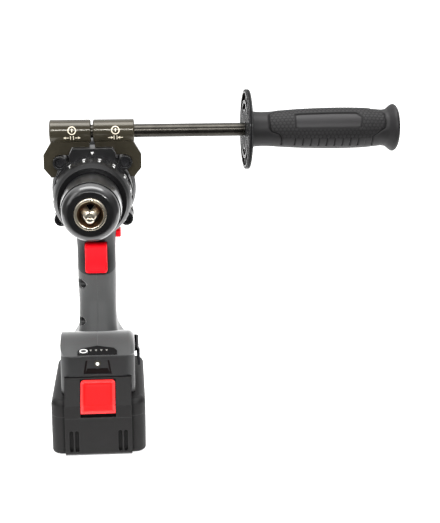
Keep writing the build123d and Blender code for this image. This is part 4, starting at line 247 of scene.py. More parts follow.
def rubber(name, colour, rough=0.62):
    """Soft moulded rubber: matt, slightly dusty in its grain."""
    f = Finish(name, Sheen_Weight=0.8, Sheen_Roughness=0.4)
    grain = f.noise(1500.0, 3.0, 0.65)
    cloud = f.noise(30.0, 5.0, 0.6)
    dust = f.noise(420.0, 3.0, 0.7)
    body = f.mix(cloud.limit(0.3, 0.75) * 0.45, colour, shade(colour, 1.22))
    f.feed(
        Base_Color=f.mix(dust.limit(0.62, 0.8) * 0.16, body, shade(colour, 1.7)),
        Roughness=rough + cloud * 0.14 - 0.05,
        Normal=f.bump(grain, 0.00004, f.rounded(0.0006)),
    )
    return f.material


def glossy(name, colour, rough, coat=0.5, film=0.05):
    """Glossy moulded plastic with faint handling marks under a film of that roughness."""
    f = Finish(name, Coat_Roughness=film, Coat_IOR=1.6, IOR=1.55)
    smear = f.noise(60.0, 5.0, 0.7)
    f.feed(
        Base_Color=f.mix(smear.limit(0.3, 0.8), colour, shade(colour, 1.25)),
        Roughness=rough + smear * 0.12,
        Coat_Weight=coat - smear * 0.25,
        Normal=f.rounded(0.0005),
    )
    return f.material


def turned_steel(name, colour, rough):
    """Steel turned on a lathe: fine rings about the spindle, rubbed bright at its edges."""
    f = Finish(name, Metallic=1.0)
    edge = 0.0003
    rings = f.noise(120.0, 4.0, 0.7, (1.0, 40.0, 1.0))
    stain = f.noise(160.0, 4.0, 0.6)
    body = f.mix(stain.limit(0.35, 0.75), colour, shade(colour, 0.72))
    f.feed(
        Base_Color=f.mix(f.edge_mask(edge * 2.0) * 0.6, body, shade(colour, 1.5)),
        Roughness=rough + rings * 0.14 + stain * 0.08 - 0.05,
        Normal=f.bump(rings, 0.000018, f.rounded(edge)),
    )
    return f.material


def cast_paint(name, colour, metallic, rough):
    """Painted casting: fine orange-peel, bare metal showing along its edges."""
    f = Finish(name)
    edge = 0.0006
    peel = f.noise(900.0, 3.0, 0.55)
    cloud = f.noise(45.0, 5.0, 0.6)
    chipped = f.edge_mask(edge * 1.5) * f.noise(700.0, 3.0, 0.7).limit(0.4, 0.65)
    body = f.mix(cloud.limit(0.3, 0.75), colour, shade(colour, 1.28))
    f.feed(
        Base_Color=f.mix(chipped * 0.55, body, shade(colour, 2.6, 0.03)),
        Metallic=metallic + chipped * 0.4,
        Roughness=rough + cloud * 0.10 + peel * 0.05 - 0.06,
        Normal=f.bump(peel, 0.000012, f.rounded(edge)),
    )
    return f.material


def drawn_steel(name, colour, rough):
    """Bar drawn along X: long faint streaks under black oxide."""
    f = Finish(name, Metallic=0.9)
    streak = f.noise(900.0, 4.0, 0.65, (0.02, 1.0, 1.0))
    stain = f.noise(70.0, 4.0, 0.6)
    body = f.mix(stain.limit(0.3, 0.75), colour, shade(colour, 1.7))
    f.feed(
        Base_Color=f.mix(streak.limit(0.55, 0.8) * 0.25, body, shade(colour, 2.0)),
        Roughness=rough + streak * 0.16 + stain * 0.08 - 0.06,
        Normal=f.bump(streak, 0.000004, f.rounded(0.0003)),
    )
    return f.material


def nose_steel(name, bright, bronze):
    """Chuck steel: bright ground rim and jaws, browned inside the nose cone."""
    f = Finish(name, Metallic=1.0)
    radius = f.from_axis(SPINDLE_H)
    rings = f.noise(90.0, 4.0, 0.7, (1.0, 40.0, 1.0))
    stain = f.noise(160.0, 4.0, 0.6)
    browned = radius.limit(0.0064, 0.0067) * (1.0 - radius.limit(0.0091, 0.0094))
    body = f.mix(stain.limit(0.35, 0.75), bright, shade(bright, 0.82))
    f.feed(
        Base_Color=f.mix(browned * (0.75 + rings * 0.25), body, bronze),
        Roughness=0.20 + rings * 0.10 + stain * 0.06 + browned * 0.12,
        Normal=f.rounded(0.0012),
    )
    return f.material


def grip_rubber(name, colour):
    """Side grip's rubber: satin skin, painted shade in its moulded grooves, smoother on its sunk pad."""
    f = Finish(name, Specular_IOR_Level=0.3)
    groove_shade = f.mark("groove_shade")
    pad = f.mark("pad")
    grain = f.noise(1900.0, 3.0, 0.65)
    cloud = f.noise(30.0, 5.0, 0.6)
    dust = f.noise(420.0, 3.0, 0.7)
    body = f.mix(cloud.limit(0.3, 0.75) * 0.25 + pad * 0.5, colour, shade(colour, 2.1))
    dusty = f.mix(dust.limit(0.6, 0.8) * 0.14, body, shade(colour, 1.8))
    f.feed(
        Base_Color=f.mix(groove_shade, dusty, shade(colour, 0.12)),
        Roughness=0.46 + cloud * 0.12 - pad * 0.06 + groove_shade * 0.4,
        Normal=f.bump(grain, 0.00004, f.rounded(0.0004)),
    )
    return f.material


def lacquered_board(name, colour):
    """Circuit board: lacquer over faint traces."""
    f = Finish(name, Roughness=0.35)
    tones = {"Color1": colour, "Color2": shade(colour, 1.4), "Mortar": shade(colour, 2.2)}
    sockets = {socket: (*tone, 1.0) for socket, tone in tones.items()}
    traces = f.node("ShaderNodeTexBrick", None, {"Vector": f.coordinates, "Scale": 260.0, **sockets})
    f.feed(Base_Color=traces)
    return f.material


def wound_copper(name, colour):
    """Enamelled wire wound side by side."""
    f = Finish(name, Metallic=1.0, Roughness=0.35)
    sockets = {"Vector": f.coordinates, "Scale": 420.0}
    turns = f.node("ShaderNodeTexWave", {"bands_direction": "Y"}, sockets, "Fac")
    f.feed(Base_Color=f.mix(turns, shade(colour, 0.55), colour), Normal=f.bump(turns, 0.0002))
    return f.material


def clear_lens(name):
    """Work light: clear dome, glowing at its middle."""
    f = Finish(name, Roughness=0.08, IOR=1.45, Emission_Strength=1.6)
    rim = f.from_axis(LAMP_H).limit(0.0009, 0.0014)
    f.feed(
        Base_Color=f.mix(rim, (0.9, 0.9, 0.84), (0.05, 0.05, 0.045)),
        Emission_Color=f.mix(rim, (1.0, 0.99, 0.92), (0.02, 0.018, 0.012)),
    )
    return f.material


def sign_paint(name, colour):
    """Printed marks: matt ink with small breaks."""
    f = Finish(name)
    wear = f.noise(2600.0, 3.0, 0.7)
    f.feed(
        Base_Color=f.mix(wear.limit(0.55, 0.8) * 0.35, colour, shade(colour, 0.5)),
        Roughness=0.5 + wear * 0.2,
    )
    return f.material


PAINTS = {
    "housing_black": moulded("housing_black", srgb(22, 22, 23), 0.36, shine=0.5),
    "cover_grey": rubber("cover_grey", srgb(61, 62, 62), 0.52),
    "screw_steel": turned_steel("screw_steel", srgb(62, 62, 64), 0.38),
    "case_metal": cast_paint("case_metal", srgb(19, 19, 20), metallic=0.1, rough=0.30),
    "gear_steel": turned_steel("gear_steel", srgb(150, 150, 152), 0.32),
    "bright_steel": nose_steel("bright_steel", srgb(240, 230, 210), srgb(128, 98, 70)),
    "lamination": turned_steel("lamination", srgb(120, 120, 124), 0.42),
    "copper": wound_copper("copper", srgb(190, 116, 70)),
    "magnet": moulded("magnet", srgb(90, 90, 94), 0.4),
    "fan_plastic": moulded("fan_plastic", srgb(58, 58, 62), 0.5),
    "board_green": lacquered_board("board_green", srgb(28, 92, 52)),
    "switch_black": moulded("switch_black", srgb(30, 30, 32), 0.45),
    # Red rims painted lighter as a highlight along their edges.
    "red_plastic": moulded(
        "red_plastic", srgb(240, 6, 24), 0.36, shine=0.12, grain=3200.0, depth=0.000012, edge=0.0011,
        wear_and_glint=0.2, polish=0.2,
    ),
    "lens_clear": clear_lens("lens_clear"),
    "gauge_black": glossy("gauge_black", srgb(12, 12, 14), 0.22),
    "gauge_button_dark": rubber("gauge_button_dark", srgb(24, 24, 26)),
    "clip_steel": turned_steel("clip_steel", srgb(50, 50, 53), 0.34),
    "claw_paint": cast_paint("claw_paint", srgb(54, 50, 40), metallic=0.3, rough=0.16),
    "rod_steel": drawn_steel("rod_steel", srgb(52, 50, 46), 0.22),
    # Guard disc: strong painted glints on its rib edges and painted shade deep in its pockets.
    "handle_black": moulded(
        "handle_black", srgb(14, 14, 15), 0.5, shine=0.08, edge=0.0009, wear_and_glint=0.4, polish=1.0, film=2.3,
        reach=0.009,
    ),
    "handle_rubber": grip_rubber("handle_rubber", srgb(22, 21, 22)),
    "chuck_black": glossy("chuck_black", srgb(8, 8, 9), 0.23, coat=0.9, film=0.11),
    "collar_black": moulded("collar_black", srgb(12, 12, 13), 0.28, shine=0.2),
    "battery_black": moulded(
        "battery_black", srgb(20, 19, 19), 0.45, shine=0.24, edge=0.0006, wear_and_glint=0.02, polish=0.2
    ),
    "cell_wrap": glossy("cell_wrap", srgb(60, 130, 170), 0.3),
    "strap_nickel": turned_steel("strap_nickel", srgb(190, 186, 176), 0.3),
    "contact_copper": turned_steel("contact_copper", srgb(200, 160, 110), 0.3),
}
# Second colour: the frame's red painted lighter than the pad as a highlight.
CAP_RED = button_red("cap_red", srgb(240, 14, 17), srgb(252, 48, 48))
CREAM_INK = sign_paint("cream_ink", srgb(226, 216, 194))
WHITE_INK = sign_paint("white_ink", srgb(240, 240, 238))
GREY_INK = sign_paint("grey_ink", srgb(150, 148, 144))
LAMP_RIM = glossy("lamp_rim", srgb(46, 42, 30), 0.3)
# Painted shade of the lamp's niche, tinted red as a painted reflection of the release button.
NICHE_SHADE_BLACK = moulded("niche_shade_black", srgb(15, 8, 8), 0.55, shine=0.08)
PANEL_BLACK = moulded("panel_black", srgb(10, 10, 11), 0.45, shine=0.14)

for row in frame["record"]["subparts"]:
    node = NODES[row["node"]]
    node.data.materials.clear()
    node.data.materials.append(PAINTS[row["material_slot"]])
NODES["gauge_panel"].data.materials[0] = PANEL_BLACK


# Modelling helpers, with sizes in millimetres
def pick(*pieces):
    """Leave only these pieces selected, the first one active."""
    bpy.ops.object.select_all(action="DESELECT")
    for piece in pieces:
        piece.select_set(True)
    bpy.context.view_layer.objects.active = pieces[0]
    return pieces[0]


def joined(pieces):
    """Make one object of several."""
    whole = pick(*pieces)
    bpy.ops.object.join()
    return whole


def settle(piece):
    """Put the piece's place into its mesh."""
    pick(piece)
    bpy.ops.object.transform_apply(location=True, rotation=True, scale=True)
    return piece


def choose(piece, chosen):
    """Enter edit mode with only the chosen points selected."""
    bpy.ops.object.mode_set(mode="EDIT")
    bpy.ops.mesh.select_mode(type="VERT")
    bpy.ops.mesh.select_all(action="DESELECT")
    bpy.ops.object.mode_set(mode="OBJECT")
    piece.data.vertices.foreach_set("select", chosen)
    bpy.ops.object.mode_set(mode="EDIT")


def press(piece, chosen, height):
    """Move the chosen points along their normals."""
    choose(piece, chosen)
    bpy.ops.transform.shrink_fatten(value=height * MM)
    bpy.ops.object.mode_set(mode="OBJECT")


def read_places(mesh):
    """Points of a mesh, in millimetres."""
    places = np.empty(len(mesh.vertices) * 3)
    mesh.vertices.foreach_get("co", places)
    return places.reshape(-1, 3) / MM


def carry(mesh, mark, values):
    """Store a value at each point of a mesh, for its finish to read."""
    mesh.attributes.new(mark, "FLOAT", "POINT").data.foreach_set("value", values.astype(np.float32))


# Flat signs, drawn on their own plane and then wrapped onto a solid
INK_THICK = 0.06
INK_GAP = 0.03
HOOP_SIDES = 48


def bar(u, v, width, height):
    """Flat bar of a sign."""
    bpy.ops.object.select_all(action="DESELECT")
    bpy.ops.mesh.primitive_plane_add(size=MM, location=(u * MM, v * MM, 0.0))
    piece = bpy.context.object
    piece.scale = (width, height, 1.0)
    return settle(piece)


def arrow_head(u, v, size, turn):
    """Flat triangle of a sign."""
    bpy.ops.object.select_all(action="DESELECT")
    bpy.ops.mesh.primitive_circle_add(
        vertices=3, radius=size * MM, fill_type="NGON", location=(u * MM, v * MM, 0.0),
        rotation=(0.0, 0.0, turn),
    )
    return settle(bpy.context.object)


def hoop(outer, inner, stretch=1.0):
    """Flat ring of a sign, stretched sideways."""
    bpy.ops.object.select_all(action="DESELECT")
    bpy.ops.mesh.primitive_circle_add(
        vertices=HOOP_SIDES, radius=outer * MM, fill_type="NOTHING", location=(0.0, 0.0, 0.0)
    )
    piece = bpy.context.object
    shrink = inner / outer
    bpy.ops.object.mode_set(mode="EDIT")
    bpy.ops.mesh.select_all(action="SELECT")
    bpy.ops.mesh.extrude_edges_move()
    bpy.ops.transform.resize(value=(shrink, shrink, 1.0), center_override=(0.0, 0.0, 0.0))
    bpy.ops.mesh.select_all(action="SELECT")
    bpy.ops.transform.resize(value=(stretch, 1.0, 1.0), center_override=(0.0, 0.0, 0.0))
    bpy.ops.object.mode_set(mode="OBJECT")
    return settle(piece)


def digit(text, size):
    """Number of a dial as a flat mesh."""
    bpy.ops.object.select_all(action="DESELECT")
    bpy.ops.object.text_add(location=(0.0, 0.0, 0.0))
    piece = bpy.context.object
    piece.data.body = text
    piece.data.size = size * MM
    piece.data.align_x = "CENTER"
    piece.data.align_y = "CENTER"
    piece.data.resolution_u = 3
    bpy.ops.object.convert(target="MESH")
    return bpy.context.object


def print_on(sign, name, node, body, spot, normal, up, ink, cuts=2):
    """Wrap a flat sign onto a CAD node, facing along a normal, as a thin layer of ink."""
    sign.name = name
    face = Vector(normal).normalized()
    right = Vector(up).cross(face).normalized()
    turned = Matrix((right, face.cross(right), face)).transposed().to_4x4()
    turned.translation = Vector(spot) * MM
    sign.matrix_world = turned
    pick(sign)
    bpy.ops.object.mode_set(mode="EDIT")
    bpy.ops.mesh.select_all(action="SELECT")
    bpy.ops.mesh.remove_doubles(threshold=0.000002)
    bpy.ops.mesh.subdivide(number_cuts=cuts)
    bpy.ops.object.mode_set(mode="OBJECT")
    wrap = sign.modifiers.new("wrap", "SHRINKWRAP")
    wrap.target = NODES[node]
    wrap.wrap_method = "PROJECT"
    wrap.use_project_z = True
    wrap.use_negative_direction = True
    wrap.use_positive_direction = False
    wrap.offset = INK_GAP * MM
    skin = sign.modifiers.new("skin", "SOLIDIFY")
    skin.thickness = INK_THICK * MM
    skin.offset = 1.0
    bpy.ops.object.modifier_apply(modifier="wrap")
    bpy.ops.object.modifier_apply(modifier="skin")
    settle(sign)
    sign.data.materials.clear()
    sign.data.materials.append(ink)
    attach(sign, body)


# Battery's release button, which bends back with the battery's slope
CAP_HALF_W = 13.6
CAP_LOW, CAP_BEND, CAP_TOP = 35.7, 42.31, 59.2
CAP_MIDDLE = (CAP_LOW + CAP_TOP) / 2
CAP_FRONT_Y, CAP_TOP_Y = -54.9, -43.28
CAP_LEAN = Vector((0.0, CAP_TOP_Y - CAP_FRONT_Y, CAP_TOP - CAP_BEND))
CAP_CORNER_R = 3.0
CAP_CORNER_TURNS = (15.0, 30.0, 45.0, 60.0, 75.0)
CAP_CUTS = 44
CAP_WALL = 1.5
# How far from the outline each step starts, and how deep it goes
CAP_EDGE_STEPS = ((0.9, 0.08), (0.5, 0.14), (0.05, 0.26))
CAP_SCOOP_STEPS = (
    (1.8, 0.06), (2.1, 0.12), (2.4, 0.18), (2.7, 0.20), (3.0, 0.18), (3.3, 0.12), (3.7, 0.08), (5.0, 0.06),
    (7.0, 0.05),
)
CAP_FRAME_W, CAP_FRAME_FADE = 2.7, 0.9
CAP_SCOOP_AT, CAP_SCOOP_FADE = 3.0, 1.7
CAP_SHADE_RISE = 4.0


def inside_cap(places):
    """Distance of each point from the cap's rounded outline, measured along its bent face."""
    stretch = CAP_LEAN.length / CAP_LEAN.z
    level = places[:, 2]
    climb = np.minimum(level, CAP_BEND) - CAP_LOW + np.maximum(level - CAP_BEND, 0.0) * stretch
    half = (CAP_BEND - CAP_LOW + CAP_LEAN.length) / 2
    over_x = np.abs(places[:, 0]) - CAP_HALF_W + CAP_CORNER_R
    over_z = np.abs(climb - half) - half + CAP_CORNER_R
    round_corner = np.hypot(np.maximum(over_x, 0.0), np.maximum(over_z, 0.0))
    past = round_corner + np.minimum(np.maximum(over_x, over_z), 0.0)
    return CAP_CORNER_R - past


def make_release_cap():
    """Red cap with a rounded frame and a scooped thumb pad."""
    bpy.ops.object.select_all(action="DESELECT")
    bpy.ops.mesh.primitive_grid_add(
        x_subdivisions=1, y_subdivisions=2, size=MM, rotation=FACE_FRONT,
        location=(0.0, CAP_FRONT_Y * MM, CAP_MIDDLE * MM),
    )
    piece = bpy.context.object
    piece.name = "release_cap"
    piece.scale = (2 * CAP_HALF_W, CAP_TOP - CAP_LOW, 1.0)
    settle(piece)
    level = read_places(piece.data)[:, 2]
    for chosen, shift in (
        (np.abs(level - CAP_MIDDLE) < 1.0, (0.0, 0.0, (CAP_BEND - CAP_MIDDLE) * MM)),
        (level > CAP_TOP - 1.0, (0.0, CAP_LEAN.y * MM, 0.0)),
    ):
        choose(piece, chosen)
        bpy.ops.transform.translate(value=shift)
        bpy.ops.object.mode_set(mode="OBJECT")
    bpy.ops.object.mode_set(mode="EDIT")
    bpy.ops.mesh.select_all(action="SELECT")
    bpy.ops.mesh.subdivide(number_cuts=CAP_CUTS)
    bpy.ops.object.mode_set(mode="OBJECT")

    inside = inside_cap(read_places(piece.data))
    for reach, drop in CAP_EDGE_STEPS:
        press(piece, inside < reach, -drop)
    for reach, drop in CAP_SCOOP_STEPS:
        press(piece, inside > reach, -drop)
    choose(piece, inside > 0.4)
    bpy.ops.mesh.vertices_smooth(factor=0.5, repeat=3)
    along = CAP_LEAN.normalized()
    for side in (-1.0, 1.0):
        corner = Vector((0.0, CAP_TOP_Y, CAP_TOP)) - along * CAP_CORNER_R
        corner.x = side * (CAP_HALF_W - CAP_CORNER_R)
        for turn in CAP_CORNER_TURNS:
            sideways = Vector((side, 0.0, 0.0)) * math.cos(math.radians(turn))
            out = sideways + along * math.sin(math.radians(turn))
            bpy.ops.mesh.select_all(action="SELECT")
            bpy.ops.mesh.bisect(plane_co=(corner + out * CAP_CORNER_R) * MM, plane_no=out, clear_outer=True)
    bpy.ops.mesh.select_all(action="DESELECT")
    bpy.ops.mesh.select_mode(type="EDGE")
    bpy.ops.mesh.select_non_manifold()
    bpy.ops.mesh.extrude_edges_move(TRANSFORM_OT_translate={"value": (0.0, CAP_WALL * MM, 0.0)})
    bpy.ops.mesh.edge_face_add()
    bpy.ops.mesh.select_all(action="SELECT")
    bpy.ops.mesh.normals_make_consistent(inside=False)
    bpy.ops.object.mode_set(mode="OBJECT")
    bpy.ops.object.shade_smooth_by_angle(angle=math.radians(60.0))

    places = read_places(piece.data)
    inside = inside_cap(places)
    # Painted shadow: a band along the scoop's wall, fading in towards the top of the cap.
    shaded = np.clip((places[:, 2] - CAP_BEND) / CAP_SHADE_RISE, 0.0, 1.0)
    scoop_shadow = np.clip(1.0 - np.abs(inside - CAP_SCOOP_AT) / CAP_SCOOP_FADE, 0.0, 1.0)
    # Frame mask: polish coat, and a lighter red painted as a highlight.
    carry(piece.data, "frame", np.clip((CAP_FRAME_W - inside) / CAP_FRAME_FADE, 0.0, 1.0))
    carry(piece.data, "scoop_shadow", scoop_shadow * shaded)
    piece.data.materials.append(CAP_RED)
    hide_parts("release_button")
    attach(piece, "release_button")


# Side grip's rubber, from the guard disc to its flared end: stations along the rod, each with its radius
GRIP_LINE = (
    (120.62, 14.5), (122.6, 13.9), (126.0, 13.4), (131.0, 13.2), (145.0, 14.05), (160.0, 15.0), (175.0, 15.5),
    (190.0, 15.7), (201.0, 15.55), (212.0, 15.1), (219.0, 14.4), (225.0, 14.1), (227.2, 14.6), (229.5, 16.4),
    (231.0, 17.6), (232.3, 18.2), (233.5, 18.0), (234.4, 17.2), (235.1, 15.8), (235.45, 14.0),
)
GRIP_END = ((235.5, 13.2), (235.5, 11.2), (234.9, 10.6), (234.9, 4.0))
# Rings of its mesh: first station, last station and step
GRIP_RINGS = ((120.62, 133.0, 0.7), (133.0, 226.0, 0.36), (226.0, 235.45, 0.27))
GRIP_RING_POINTS = 260
BARREL_FROM, BARREL_TO = 128.0, 227.0
UNROLL_R = 15.3
# Outlines on the unrolled barrel, each point as degrees from the top and station along the rod
PANEL_LEFT = (
    (0.0, 143.0), (5.0, 142.4), (28.0, 135.0), (50.0, 134.7), (83.0, 135.2), (92.0, 136.6), (100.5, 142.2),
    (112.0, 144.1), (146.0, 144.6),
)
PANEL_RIGHT = (
    (0.0, 214.5), (5.0, 215.2), (15.0, 218.8), (30.0, 224.1), (68.0, 224.6), (84.0, 223.8), (106.0, 216.1),
    (109.0, 214.6), (146.0, 215.0),
)
PANEL_LOW_TURN = 146.0
PAD_CORNERS = (
    (36.0, 157.5), (38.5, 154.8), (79.0, 154.8), (82.0, 157.5), (82.0, 202.5), (79.0, 205.0), (49.0, 206.3),
    (36.0, 202.0),
)
PAD_TOP_TURN, PAD_LOW_TURN = 36.0, 82.0
PAD_FROM, PAD_TO = 154.8, 206.3
PAD_SLANT_X, PAD_SLANT = 202.8, 0.33
# Above this turn the pad's edge is painted darkest, as the shadow of its wall.
PAD_SHADOW_TURN = 40.0
HEX_PITCH = 3.06
HEX_FIRST_X, HEX_FIRST_TURN = 157.0, 116.0
COMB_LOW_TURN = 112.0
NOTCH_FIRST_X, NOTCH_PITCH = 154.8, 6.11
NOTCH_LOW_TURN = 140.0
NOTCHES_FROM, NOTCHES_TO = 150.0, 209.0
FAR_AWAY = 9.0


def nearest(points, line, closed=False):
    """Distance from each unrolled point to a broken line."""
    corners = np.array([(x, math.radians(turn) * UNROLL_R) for turn, x in line])
    ends = np.roll(corners, -1, axis=0) if closed else corners[1:]
    starts = corners if closed else corners[:-1]
    best = np.full(len(points), np.inf)
    for start, end in zip(starts, ends):
        run = end - start
        part = np.clip(((points - start) @ run) / (run @ run), 0.0, 1.0)
        best = np.minimum(best, np.linalg.norm(points - (start + part[:, None] * run), axis=1))
    return best


def to_honeycomb(points):
    """Distance from each unrolled point to the nearest wall of the grip's honeycomb."""
    cell = np.array((HEX_PITCH, HEX_PITCH * math.sqrt(3.0)))
    start = np.array((HEX_FIRST_X, math.radians(HEX_FIRST_TURN) * UNROLL_R))
    best = np.full(len(points), -np.inf)
    for shift in (0.0, 0.5):
        away = (points - start - cell * shift + cell / 2) % cell - cell / 2
        straight = away[:, 0]
        slant = away[:, 1] * math.sqrt(0.75)
        walls = np.abs([straight, straight / 2 + slant, slant - straight / 2])
        best = np.maximum(best, HEX_PITCH / 2 - walls.max(axis=0))
    return best


def grip_radii(along):
    """Radius of the grip at each station, on a smooth curve through its line."""
    x, radius = np.array(GRIP_LINE).T
    slope = np.gradient(radius, x)
    at = np.clip(np.searchsorted(x, along, side="right") - 1, 0, len(x) - 2)
    span = x[at + 1] - x[at]
    part = (along - x[at]) / span
    return (
        (2 * part**3 - 3 * part**2 + 1) * radius[at]
        + (part**3 - 2 * part**2 + part) * span * slope[at]
        + (-2 * part**3 + 3 * part**2) * radius[at + 1]
        + (part**3 - part**2) * span * slope[at + 1]
    )


def turn_grip():
    """Smooth body of the grip, drawn out ring by ring along the rod."""
    along = np.concatenate([np.arange(*run) for run in GRIP_RINGS] + [[GRIP_LINE[-1][0]]])
    rings = list(zip(along, grip_radii(along))) + list(GRIP_END)
    axis_y, axis_h = ROD_Y * MM, ROD_H * MM
    first_x, first_radius = rings[0]
    bpy.ops.object.select_all(action="DESELECT")
    bpy.ops.mesh.primitive_circle_add(
        vertices=GRIP_RING_POINTS, radius=first_radius * MM, fill_type="NGON",
        location=(first_x * MM, axis_y, axis_h), rotation=(0.0, math.pi / 2, 0.0),
    )
    piece = settle(bpy.context.object)
    bpy.ops.object.mode_set(mode="EDIT")
    bpy.ops.mesh.select_mode(type="EDGE")
    bpy.ops.mesh.select_all(action="SELECT")
    for (x, radius), (next_x, next_radius) in zip(rings[:-1], rings[1:]):
        grow = next_radius / radius
        bpy.ops.mesh.extrude_edges_move(TRANSFORM_OT_translate={"value": ((next_x - x) * MM, 0.0, 0.0)})
        bpy.ops.transform.resize(value=(1.0, grow, grow), center_override=(next_x * MM, axis_y, axis_h))
    bpy.ops.mesh.edge_face_add()
    bpy.ops.mesh.select_all(action="SELECT")
    bpy.ops.mesh.normals_make_consistent(inside=False)
    bpy.ops.mesh.select_all(action="DESELECT")
    bpy.ops.object.mode_set(mode="OBJECT")
    return piece


def make_grip_skin():
    """Rubber of the side grip, with its panel, sunk pad, honeycomb and notches pressed in."""
    piece = turn_grip()
    piece.name = "grip_skin"
    mesh = piece.data
    x, y, height = read_places(mesh).T
    turn = np.degrees(np.arctan2(height - ROD_H, ROD_Y - y))
    from_top = np.abs((turn - 90.0 + 180.0) % 360.0 - 180.0)
    flat = np.stack([x, np.radians(from_top) * UNROLL_R], axis=1)
    on_barrel = (x > BARREL_FROM) & (x < BARREL_TO)
    with_outline = on_barrel & (from_top < PANEL_LOW_TURN)
    left = np.interp(from_top, *zip(*PANEL_LEFT))
    right = np.interp(from_top, *zip(*PANEL_RIGHT))
    in_panel = with_outline & (x > left) & (x < right)
    to_outline = np.minimum(nearest(flat, PANEL_LEFT), nearest(flat, PANEL_RIGHT))
    to_pad = nearest(flat, PAD_CORNERS, closed=True)
    in_pad = (from_top > PAD_TOP_TURN) & (from_top < PAD_LOW_TURN) & (x > PAD_FROM) & (x < PAD_TO)
    in_pad &= x < PAD_SLANT_X + (from_top - PAD_TOP_TURN) * PAD_SLANT
    in_comb = in_panel & ~in_pad & (to_pad > 1.0) & (to_outline > 1.0)
    to_comb = np.where(from_top > COMB_LOW_TURN, FAR_AWAY, to_honeycomb(flat))
    in_notches = in_panel & (from_top > COMB_LOW_TURN) & (from_top < NOTCH_LOW_TURN)
    in_notches &= (x > NOTCHES_FROM) & (x < NOTCHES_TO)
    to_notch = np.abs((x - NOTCH_FIRST_X + NOTCH_PITCH / 2) % NOTCH_PITCH - NOTCH_PITCH / 2)

    # Each region with how far it rises
    for chosen, rise in (
        (in_panel & (to_outline > 0.6), 0.22),
        (with_outline & (to_outline < 0.9), -0.25),
        (with_outline & (to_outline < 0.5), -0.35),
        (in_pad, -0.22),
        (in_pad & (to_pad > 0.4), -0.22),
        (in_comb & (to_comb < 0.36), -0.20),
        (in_notches & (to_notch < 0.85), -0.30),
        (in_notches & (to_notch < 0.5), -0.30),
    ):
        press(piece, chosen, rise)

    # Painted shade in the grooves: each region with how dark its lines are, the distance from them, their
    # width and how steeply they fade
    groove_shade = np.zeros(len(x))
    # The pad's upper edge gets the darkest line, a painted shadow of its wall.
    pad_edge_shadow = np.where(from_top < PAD_SHADOW_TURN, 1.0, 0.6)
    for region, dark, distance, width, power in (
        (with_outline, 1.0, to_outline, 0.75, 1),
        (in_panel, pad_edge_shadow, to_pad, 1.1, 2),
        (in_comb, 0.6, to_comb, 0.6, 1),
        (in_notches, 0.95, to_notch, 0.85, 1),
    ):
        depth = dark * (1.0 - np.clip(distance / width, 0.0, 1.0) ** power)
        groove_shade = np.maximum(groove_shade, np.where(region, depth, 0.0))
    carry(mesh, "groove_shade", groove_shade)
    carry(mesh, "pad", in_pad & (to_pad > 0.7))
    pick(piece)
    bpy.ops.object.shade_smooth_by_angle(angle=math.radians(50.0))
    mesh.materials.append(PAINTS["handle_rubber"])
    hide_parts("handle_sleeve")
    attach(piece, "handle")


# Printed signs
LEFT_CLAW_X, RIGHT_CLAW_X = -15.0, 17.9
CLAW_FRONT_Y, CLAW_RING_H, CLAW_ARROWS_H = -40.0, 256.2, 248.4
CLAW_RING_FACE, CLAW_ARROWS_FACE = (0.0, -1.0, 0.12), (0.0, -1.0, -0.10)
COLLAR_R = 33.0
COLLAR_STEPS, COLLAR_STEP_TURN, COLLAR_FIRST_TURN = 14, 22.5, 123.75
COLLAR_NUMBER_Y, COLLAR_TICK_Y = -50.6, -45.9
COLLAR_NUMBER_SIZE = 4.8
GAUGE_SLOPE = math.radians(35.0)
CHARGE_MARKS_X, CHARGE_MARKS_Y, CHARGE_MARKS_H = (-5.2, -1.0, 3.2, 7.4), -37.6, 84.4
GAUGE_RING_SPOT = (-10.8, -38.4, 83.6)
COLLAR_INDEX_SPOT = (0.0, -40.0, 238.2)


def make_claw_signs():
    """Open and close signs on the clamp's two barrels."""
    for name, node, body, x, outward in (
        ("left_claw_sign", "left_claw", "left_claw", LEFT_CLAW_X, True),
        ("right_claw_sign", "right_claw", "tool", RIGHT_CLAW_X, False),
    ):
        ring = joined([hoop(3.2, 2.5), bar(0.0, -0.2, 0.6, 2.0), arrow_head(0.0, 0.9, 0.9, 0.0)])
        spot = (x, CLAW_FRONT_Y, CLAW_RING_H)
        print_on(ring, name + "_ring", node, body, spot, CLAW_RING_FACE, UP, CREAM_INK, cuts=3)
        parts = [bar(-1.1, 0.0, 0.5, 3.2), bar(1.1, 0.0, 0.5, 3.2)]
        for side in (-1.0, 1.0):
            parts.append(bar(side * 4.0, 0.0, 3.4, 0.5))
            tip = 5.3 if outward else 2.8
            aim = -side if outward else side
            parts.append(arrow_head(side * tip, 0.0, 1.2, aim * math.pi / 2))
        arrows = joined(parts)
        spot = (x, CLAW_FRONT_Y, CLAW_ARROWS_H)
        print_on(arrows, name + "_arrows", node, body, spot, CLAW_ARROWS_FACE, UP, CREAM_INK, cuts=3)


def make_collar_marks():
    """Torque numbers and ticks on the collar's lands."""
    for step in range(COLLAR_STEPS):
        turn = math.radians(COLLAR_FIRST_TURN - COLLAR_STEP_TURN * step)
        out = Vector((math.cos(turn), 0.0, math.sin(turn)))
        number = str(step + 1)
        spot = out * COLLAR_R + Vector((0.0, COLLAR_NUMBER_Y, SPINDLE_H))
        sign = digit(number, COLLAR_NUMBER_SIZE)
        name = "collar_number_" + number
        print_on(sign, name, "torque_collar", "collar", spot, out, BACK, WHITE_INK, cuts=1)
        spot.y = COLLAR_TICK_Y
        tick = hoop(0.75, 0.1, 1.9)
        name = "collar_tick_" + number
        print_on(tick, name, "torque_collar", "collar", spot, out, BACK, WHITE_INK)


